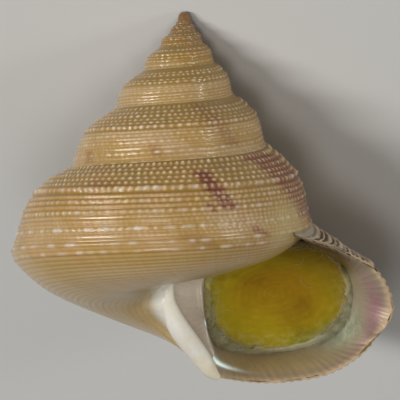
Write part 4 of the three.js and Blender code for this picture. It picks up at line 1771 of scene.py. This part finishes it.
@dataclass
class Cotton:
    """The wad behind the lid, and its loose fibres round the lid's rim."""

    mouth: Mouth
    lid: Lid
    wad_start: float = 0.62
    wad_clearance: float = 0.35
    wad_depth: float = 3.45
    wad_around: int = 160
    wad_steps: int = 60
    wad_end: tuple = (0.85, 0.65, 0.45, 0.25, 0.1)
    wad_lumps: float = 0.06
    reach: float = 0.34
    drift_sides: int = 36
    drift_height: float = 0.16
    drift_sink: float = 0.10
    lap: tuple = (
        (0.0, 0.05), (0.1, 0.15), (0.15, 0.75), (0.2, 1.1), (0.25, 0.7), (0.30, 0.2), (0.36, 0.2),
        (0.4, 0.6), (0.45, 1.15), (0.5, 1.35), (0.55, 0.95), (0.6, 0.45), (0.66, 0.1), (1.0, 0.05),
    )
    whiteness: tuple = (
        (0.0, 0.0), (0.10, 0.2), (0.14, 0.75), (0.24, 1.0), (0.30, 0.7), (0.36, 0.35),
        (0.5, 0.45), (0.58, 0.2), (0.7, 0.0), (1.0, 0.0),
    )
    fibres: int = 1100
    fibre_steps: int = 14
    fibre_sides: int = 3
    fibre_radius: float = 0.0065
    fibre_span: float = 0.035
    fibre_bounds: tuple = (-1.3, 0.42)
    fibre_lift: float = 0.08
    fibre_floor: float = -0.1
    hairs: int = 7
    hair_steps: int = 40
    hair_radius: float = 0.006

    def wad(self, material: bpy.types.Material) -> bpy.types.Object:
        """Builds the wad: a slice of the hollow, drawn in by its clearance and lumpy.

        Formula: the hollow's outline from its start to the plane behind the lid, moved
        out and in by sums of sines for its lumps.

        Args:
            material: The wad's finish.

        Returns:
            The object.
        """
        around = self.wad_around
        share = np.linspace(0, 1, around, endpoint=False)
        end = self.mouth.plane_turns(share, self.wad_depth, self.wad_clearance)
        rows = [
            self.mouth.outline(share, self.wad_start + (end - self.wad_start) * k, self.wad_clearance)
            for k in np.linspace(0, 1, self.wad_steps)
        ]
        centre = rows[-1].mean(axis=0)
        rows += [centre + (rows[-1] - centre) * k for k in self.wad_end]
        points = np.array(rows)
        x, y, z = points[..., 0] * 3.1, points[..., 1] * 3.7, points[..., 2] * 3.3
        lump = np.sin(x + 1.7 * np.sin(y)) * np.sin(y + 1.3 * np.sin(z))
        lump += 0.5 * np.sin(2.3 * x + z) * np.sin(2.9 * y)
        points = points + grid_normals(points, closed=True) * lump[..., None] * self.wad_lumps
        faces, caps = grid_faces(len(points), around)[:, ::-1], end_caps(len(points), around)
        return make_piece(
            "cotton_wad_body", points, faces, material, ("cotton_wad",), None, None, caps
        )

    def drift(self, material: bpy.types.Material) -> bpy.types.Object:
        """Builds the drift of cotton that fills the groove round the lid and laps over it.

        Formula: a flattened circle carried round the lid's outline, as wide as its lap over
        the lid, its radius changed by sums of sines of both angles for its lumps.

        Args:
            material: The drift's finish.

        Returns:
            The object.
        """
        outline, centre = self.lid.ring()
        sides, count = self.drift_sides, len(outline)
        share = np.linspace(0, 1, count, endpoint=False)
        angle = np.linspace(0, 2 * np.pi, sides, endpoint=False)[None, :]
        around = 2 * np.pi * share[:, None]
        away, normal = unit(outline - centre), unit(self.mouth.plane_normal)
        lap = np.interp(share, *zip(*self.lap))[:, None]
        lump = 0.16 * np.sin(9 * around + 2 * np.sin(5 * around)) + 0.14 * np.sin(31 * around + angle)
        lump += 0.12 * np.sin(17 * around - 2 * angle) + 0.10 * np.sin(53 * around + 3 * angle)
        half = (lap + self.reach) / 2 * (1 + 0.5 * lump)
        across = (self.reach - lap) / 2 + half * np.cos(angle)
        inner = np.clip((half - half * np.cos(angle)) / (2 * half), 0, 1)
        rise = self.drift_height * (1 + lump) * np.sin(angle) - self.drift_sink * (1 - inner)
        points = outline[:, None] + across[..., None] * away[:, None] + rise[..., None] * normal
        one = np.ones_like(inner)
        paints = {
            "inner": inner * smooth_step(0.2, 0.6, lap),
            "white": np.interp(share, *zip(*self.whiteness))[:, None] * one,
            # Where the drift is painted brown as shade under the lip.
            "top": (smooth_step(0.74, 0.82, share) + smooth_step(0.09, 0.04, share))[:, None] * one,
        }
        faces = grid_faces(count, sides, wrap_rows=True)
        return make_piece("cotton_drift", points, faces, material, ("cotton_wad",), paints)

    def tubes(
        self, name: str, paths: np.ndarray, radius: np.ndarray, material: bpy.types.Material
    ) -> bpy.types.Object:
        """Thin closed tubes along many paths, joined in one mesh.

        Formula: at each step along a path, its radius times the cosine and sine of an angle,
        in two directions square to it.

        Args:
            name: The piece's name.
            paths: The paths, fibres by steps by three.
            radius: Each fibre's radius.
            material: The finish.

        Returns:
            The object.
        """
        count, steps = paths.shape[:2]
        tangent = unit(np.gradient(paths, axis=1))
        side = unit(np.cross(tangent, np.array([0.31, 0.77, 0.55])))
        out = np.cross(side, tangent)
        angle = np.linspace(0, 2 * np.pi, self.fibre_sides, endpoint=False)
        taper = np.clip(np.sin(np.pi * np.linspace(0.03, 0.97, steps)) * 2.5, 0.25, 1)
        size = (radius[:, None] * taper)[:, :, None, None]
        points = paths[:, :, None] + size * (
            np.cos(angle)[:, None] * side[:, :, None] + np.sin(angle)[:, None] * out[:, :, None]
        )
        one = grid_faces(steps, self.fibre_sides)[:, ::-1]
        offsets = np.arange(count) * steps * self.fibre_sides
        faces = (one[None] + offsets[:, None, None]).reshape(-1, 4)
        caps = tuple(cap + offset for cap in end_caps(steps, self.fibre_sides) for offset in offsets)
        return make_piece(name, points, faces, material, ("cotton_wad",), None, None, caps)

    def build(
        self, wad: bpy.types.Material, drift: bpy.types.Material, fibre: bpy.types.Material
    ) -> list[bpy.types.Object]:
        """Builds the wad, the drift and fibres round the lid's rim, and a few stray hairs.

        Formula: a fibre follows a stretch of the rim, moved across it and up by straight
        lines and sines of chance sizes, inside the lap that the cotton has there.

        Args:
            wad: The wad's finish.
            drift: The drift's.
            fibre: The fibres' and hairs'.

        Returns:
            The objects.
        """
        rng = np.random.default_rng(FIBRE_SEED)
        outline, centre = self.lid.ring()
        normal = unit(self.mouth.plane_normal)
        n, steps = self.fibres, self.fibre_steps
        s = np.linspace(0, 1, steps)[None, :]
        start = self.along_rim(rng, n)[:, None]
        span = rng.normal(0, self.fibre_span, (n, 1))
        closed = np.concatenate([outline, outline[:1]])
        angle = (start + span * s) % 1
        rim = np.stack([np.interp(angle, np.linspace(0, 1, len(closed)), closed[:, k]) for k in range(3)], -1)
        away = unit(rim - centre)
        wave = rng.uniform(0, 6.3, (3, n, 1))
        lap = np.interp(start % 1, *zip(*self.lap))
        out = 0.15 - lap * rng.uniform(-0.1, 0.95, (n, 1)) + rng.normal(0, 0.35, (n, 1)) * (s - 0.5)
        out += 0.10 * np.sin(s * rng.uniform(3, 9, (n, 1)) + wave[0]) + 0.04 * np.sin(s * 14 + wave[1])
        up = rng.normal(0.03, 0.10, (n, 1)) + 0.10 * np.sin(s * rng.uniform(3, 9, (n, 1)) + wave[2])
        out, up = np.clip(out, *self.fibre_bounds), np.maximum(up + self.fibre_lift, self.fibre_floor)
        paths = rim + away * out[..., None] + normal * up[..., None]
        radius = self.fibre_radius * rng.uniform(0.6, 1.6, n)
        return [
            self.wad(wad),
            self.drift(drift),
            self.tubes("cotton_fibres", paths, radius, fibre),
            self.tubes("cotton_hairs", *self.stray_hairs(rng, outline, centre, normal), fibre),
        ]

    def stray_hairs(
        self, rng: np.random.Generator, outline: np.ndarray, centre: np.ndarray, normal: np.ndarray
    ) -> tuple[np.ndarray, np.ndarray]:
        """Long loose hairs that curl over the lid.

        Formula: an arc of a circle from a place near the rim, its radius shrinking as it
        goes, held just above the lid.

        Args:
            rng: Where the chances come from.
            outline: The lid's outline.
            centre: Its middle.
            normal: The direction out of the mouth.

        Returns:
            The hairs' paths, and their radii.
        """
        n = self.hairs
        s = np.linspace(0, 1, self.hair_steps)[None, :]
        right = unit(outline[0] - centre)
        up = np.cross(normal, right)
        place = rng.integers(0, len(outline), n)
        share = rng.uniform(0.55, 0.98, (n, 1))
        spread = outline[place] - centre
        x0, y0 = (spread @ right)[:, None] * share, (spread @ up)[:, None] * share
        heading = rng.uniform(0, 2 * np.pi, (n, 1))
        bend, length = rng.uniform(-4.5, 4.5, (n, 1)), rng.uniform(0.6, 2.0, (n, 1))
        turn = heading + bend * s**1.4
        step = length / self.hair_steps
        x = x0 + np.cumsum(np.cos(turn) * step, axis=1)
        y = y0 + np.cumsum(np.sin(turn) * step, axis=1)
        lift = 0.04 + 0.10 * np.sin(s * np.pi) * rng.uniform(0.2, 1, (n, 1))
        paths = centre + x[..., None] * right + y[..., None] * up + lift[..., None] * normal
        return paths, self.hair_radius * rng.uniform(0.7, 1.3, n)

    def along_rim(self, rng: np.random.Generator, count: int) -> np.ndarray:
        """Starts of fibres round the rim: most along the pillar, the base and the lip.

        Args:
            rng: Where the chances come from.
            count: How many.

        Returns:
            The starts, 0 to 1 round the rim.
        """
        by_lip = rng.random(count) < 0.4
        place = np.where(by_lip, rng.normal(0.48, 0.07, count), rng.normal(0.20, 0.045, count))
        return np.where(rng.random(count) < 0.85, place, rng.random(count)) % 1


@dataclass
class Studio:
    """The floor, the soft lights and the camera at the photograph's angle."""

    view_width: float = 26.6
    distance: float = 600.0
    sensor: float = 36.0
    toward: tuple = (0.0, -0.99909, 0.04275)
    right: tuple = (0.99914, 0.00177, 0.04131)
    up: tuple = (-0.04135, 0.0427, 0.9982)
    middle_right: float = 1.0075
    middle_down: float = 12.562
    clip: tuple = (0.05, 5.0)
    floor_half: float = 3.0
    floor_tone: float = 0.56
    warm: tuple = (1.0, 0.98, 0.93)
    mild: tuple = (1.0, 0.99, 0.95)
    sky: tuple = (1.0, 0.97, 0.92, 1.0)
    sky_strength: float = 0.09

    def camera(self) -> None:
        """Sets the camera so that the photograph's frame is the shell's, from its front."""
        axes = [Vector(REST.directions(np.array(a))) for a in (self.right, self.up, self.toward)]
        aim = np.array(self.right) * self.middle_right - np.array(self.up) * self.middle_down
        place = REST.points(aim + np.array(self.toward) * self.distance)
        data = bpy.data.cameras.new("camera")
        data.sensor_width = self.sensor
        data.lens = self.sensor * self.distance / self.view_width
        camera = bpy.data.objects.new("camera", data)
        turn = Matrix((axes[0], axes[1], axes[2])).transposed().to_4x4()
        camera.matrix_world = Matrix.Translation(Vector(place)) @ turn
        data.clip_start, data.clip_end = self.clip
        bpy.context.scene.collection.objects.link(camera)
        bpy.context.scene.camera = camera

    def light(
        self, name: str, aim: tuple[float, float, float], distance: float, size: tuple[float, float],
        power: float, colour: tuple[float, float, float],
    ) -> None:
        """Sets a soft rectangular light that shines on the shell's middle.

        Args:
            name: Its name.
            aim: Where it stands, seen from the shell: the picture's right, up and towards.
            distance: How far off, in metres.
            size: Its width, which lies along the picture's, and its height, in metres.
            power: Its power in watts.
            colour: Its colour.
        """
        axes = REST.directions(np.array([self.right, self.up, self.toward]))
        direction = unit(np.array(aim) @ axes)
        side = unit(axes[0] - direction * (axes[0] @ direction))
        data = bpy.data.lights.new(name, "AREA")
        data.shape = "RECTANGLE"
        data.size, data.size_y, data.energy, data.color = *size, power, colour
        lamp = bpy.data.objects.new(name, data)
        centre = (CAD_BOX[0] + CAD_BOX[1]) / 2
        turn = Matrix((side, np.cross(direction, side), direction)).transposed().to_4x4()
        lamp.matrix_world = Matrix.Translation(centre + Vector(direction) * distance) @ turn
        bpy.context.scene.collection.objects.link(lamp)

    def floor(self) -> None:
        """Lays a wide plain pale floor, faintly mottled."""
        mesh = bpy.data.meshes.new("floor")
        half = self.floor_half
        corners = [(-half, -half, 0), (half, -half, 0), (half, half, 0), (-half, half, 0)]
        mesh.from_pydata(corners, [], [(0, 1, 2, 3)])
        p = Painter("floor_card")
        mottle = p.noise(p.here(), 40.0, 3.0)
        mesh.materials.append(p.finish(Base_Color=p.grey(mottle * 0.03 + self.floor_tone), Roughness=0.8))
        floor = bpy.data.objects.new("floor", mesh)
        bpy.context.scene.collection.objects.link(floor)

    def build(self) -> None:
        """Builds the whole studio."""
        self.camera()
        self.floor()
        self.light("left_light", (-0.80, -0.10, 0.55), 0.45, (0.26, 0.06), 1.40, self.warm)
        self.light("right_light", (0.74, 0.05, 0.66), 0.45, (0.09, 0.03), 0.52, self.warm)
        self.light("front_light", (-0.10, -0.35, 1.00), 0.60, (0.20, 0.20), 0.78, self.mild)
        world = bpy.data.worlds.new("world")
        world.use_nodes = True
        background = world.node_tree.nodes["Background"]
        background.inputs["Color"].default_value = self.sky
        background.inputs["Strength"].default_value = self.sky_strength
        bpy.context.scene.world = world
        bpy.context.scene.view_settings.view_transform = "Standard"


def main() -> None:
    """Builds the studio and every piece."""
    logging.basicConfig(level=logging.INFO, format="%(message)s")
    Studio().build()
    whorls = Whorls()
    outside = OuterFinish().material()
    whorls.build(outside)
    Apex().build(outside)
    Pillar().build(PorcelainFinish().material())
    Pillar().apron(whorls, outside)
    mouth = Mouth(whorls=whorls)
    mouth.build(NacreFinish().material())
    lid = Lid(mouth)
    lid.build(HornFinish().material())
    wad_finish = CottonFinish("cotton_mass", srgb(186, 180, 148), srgb(128, 118, 84))
    Cotton(mouth, lid).build(wad_finish.material(), DriftFinish().material(), CottonFinish().material())


if __name__ == "__main__":
    main()
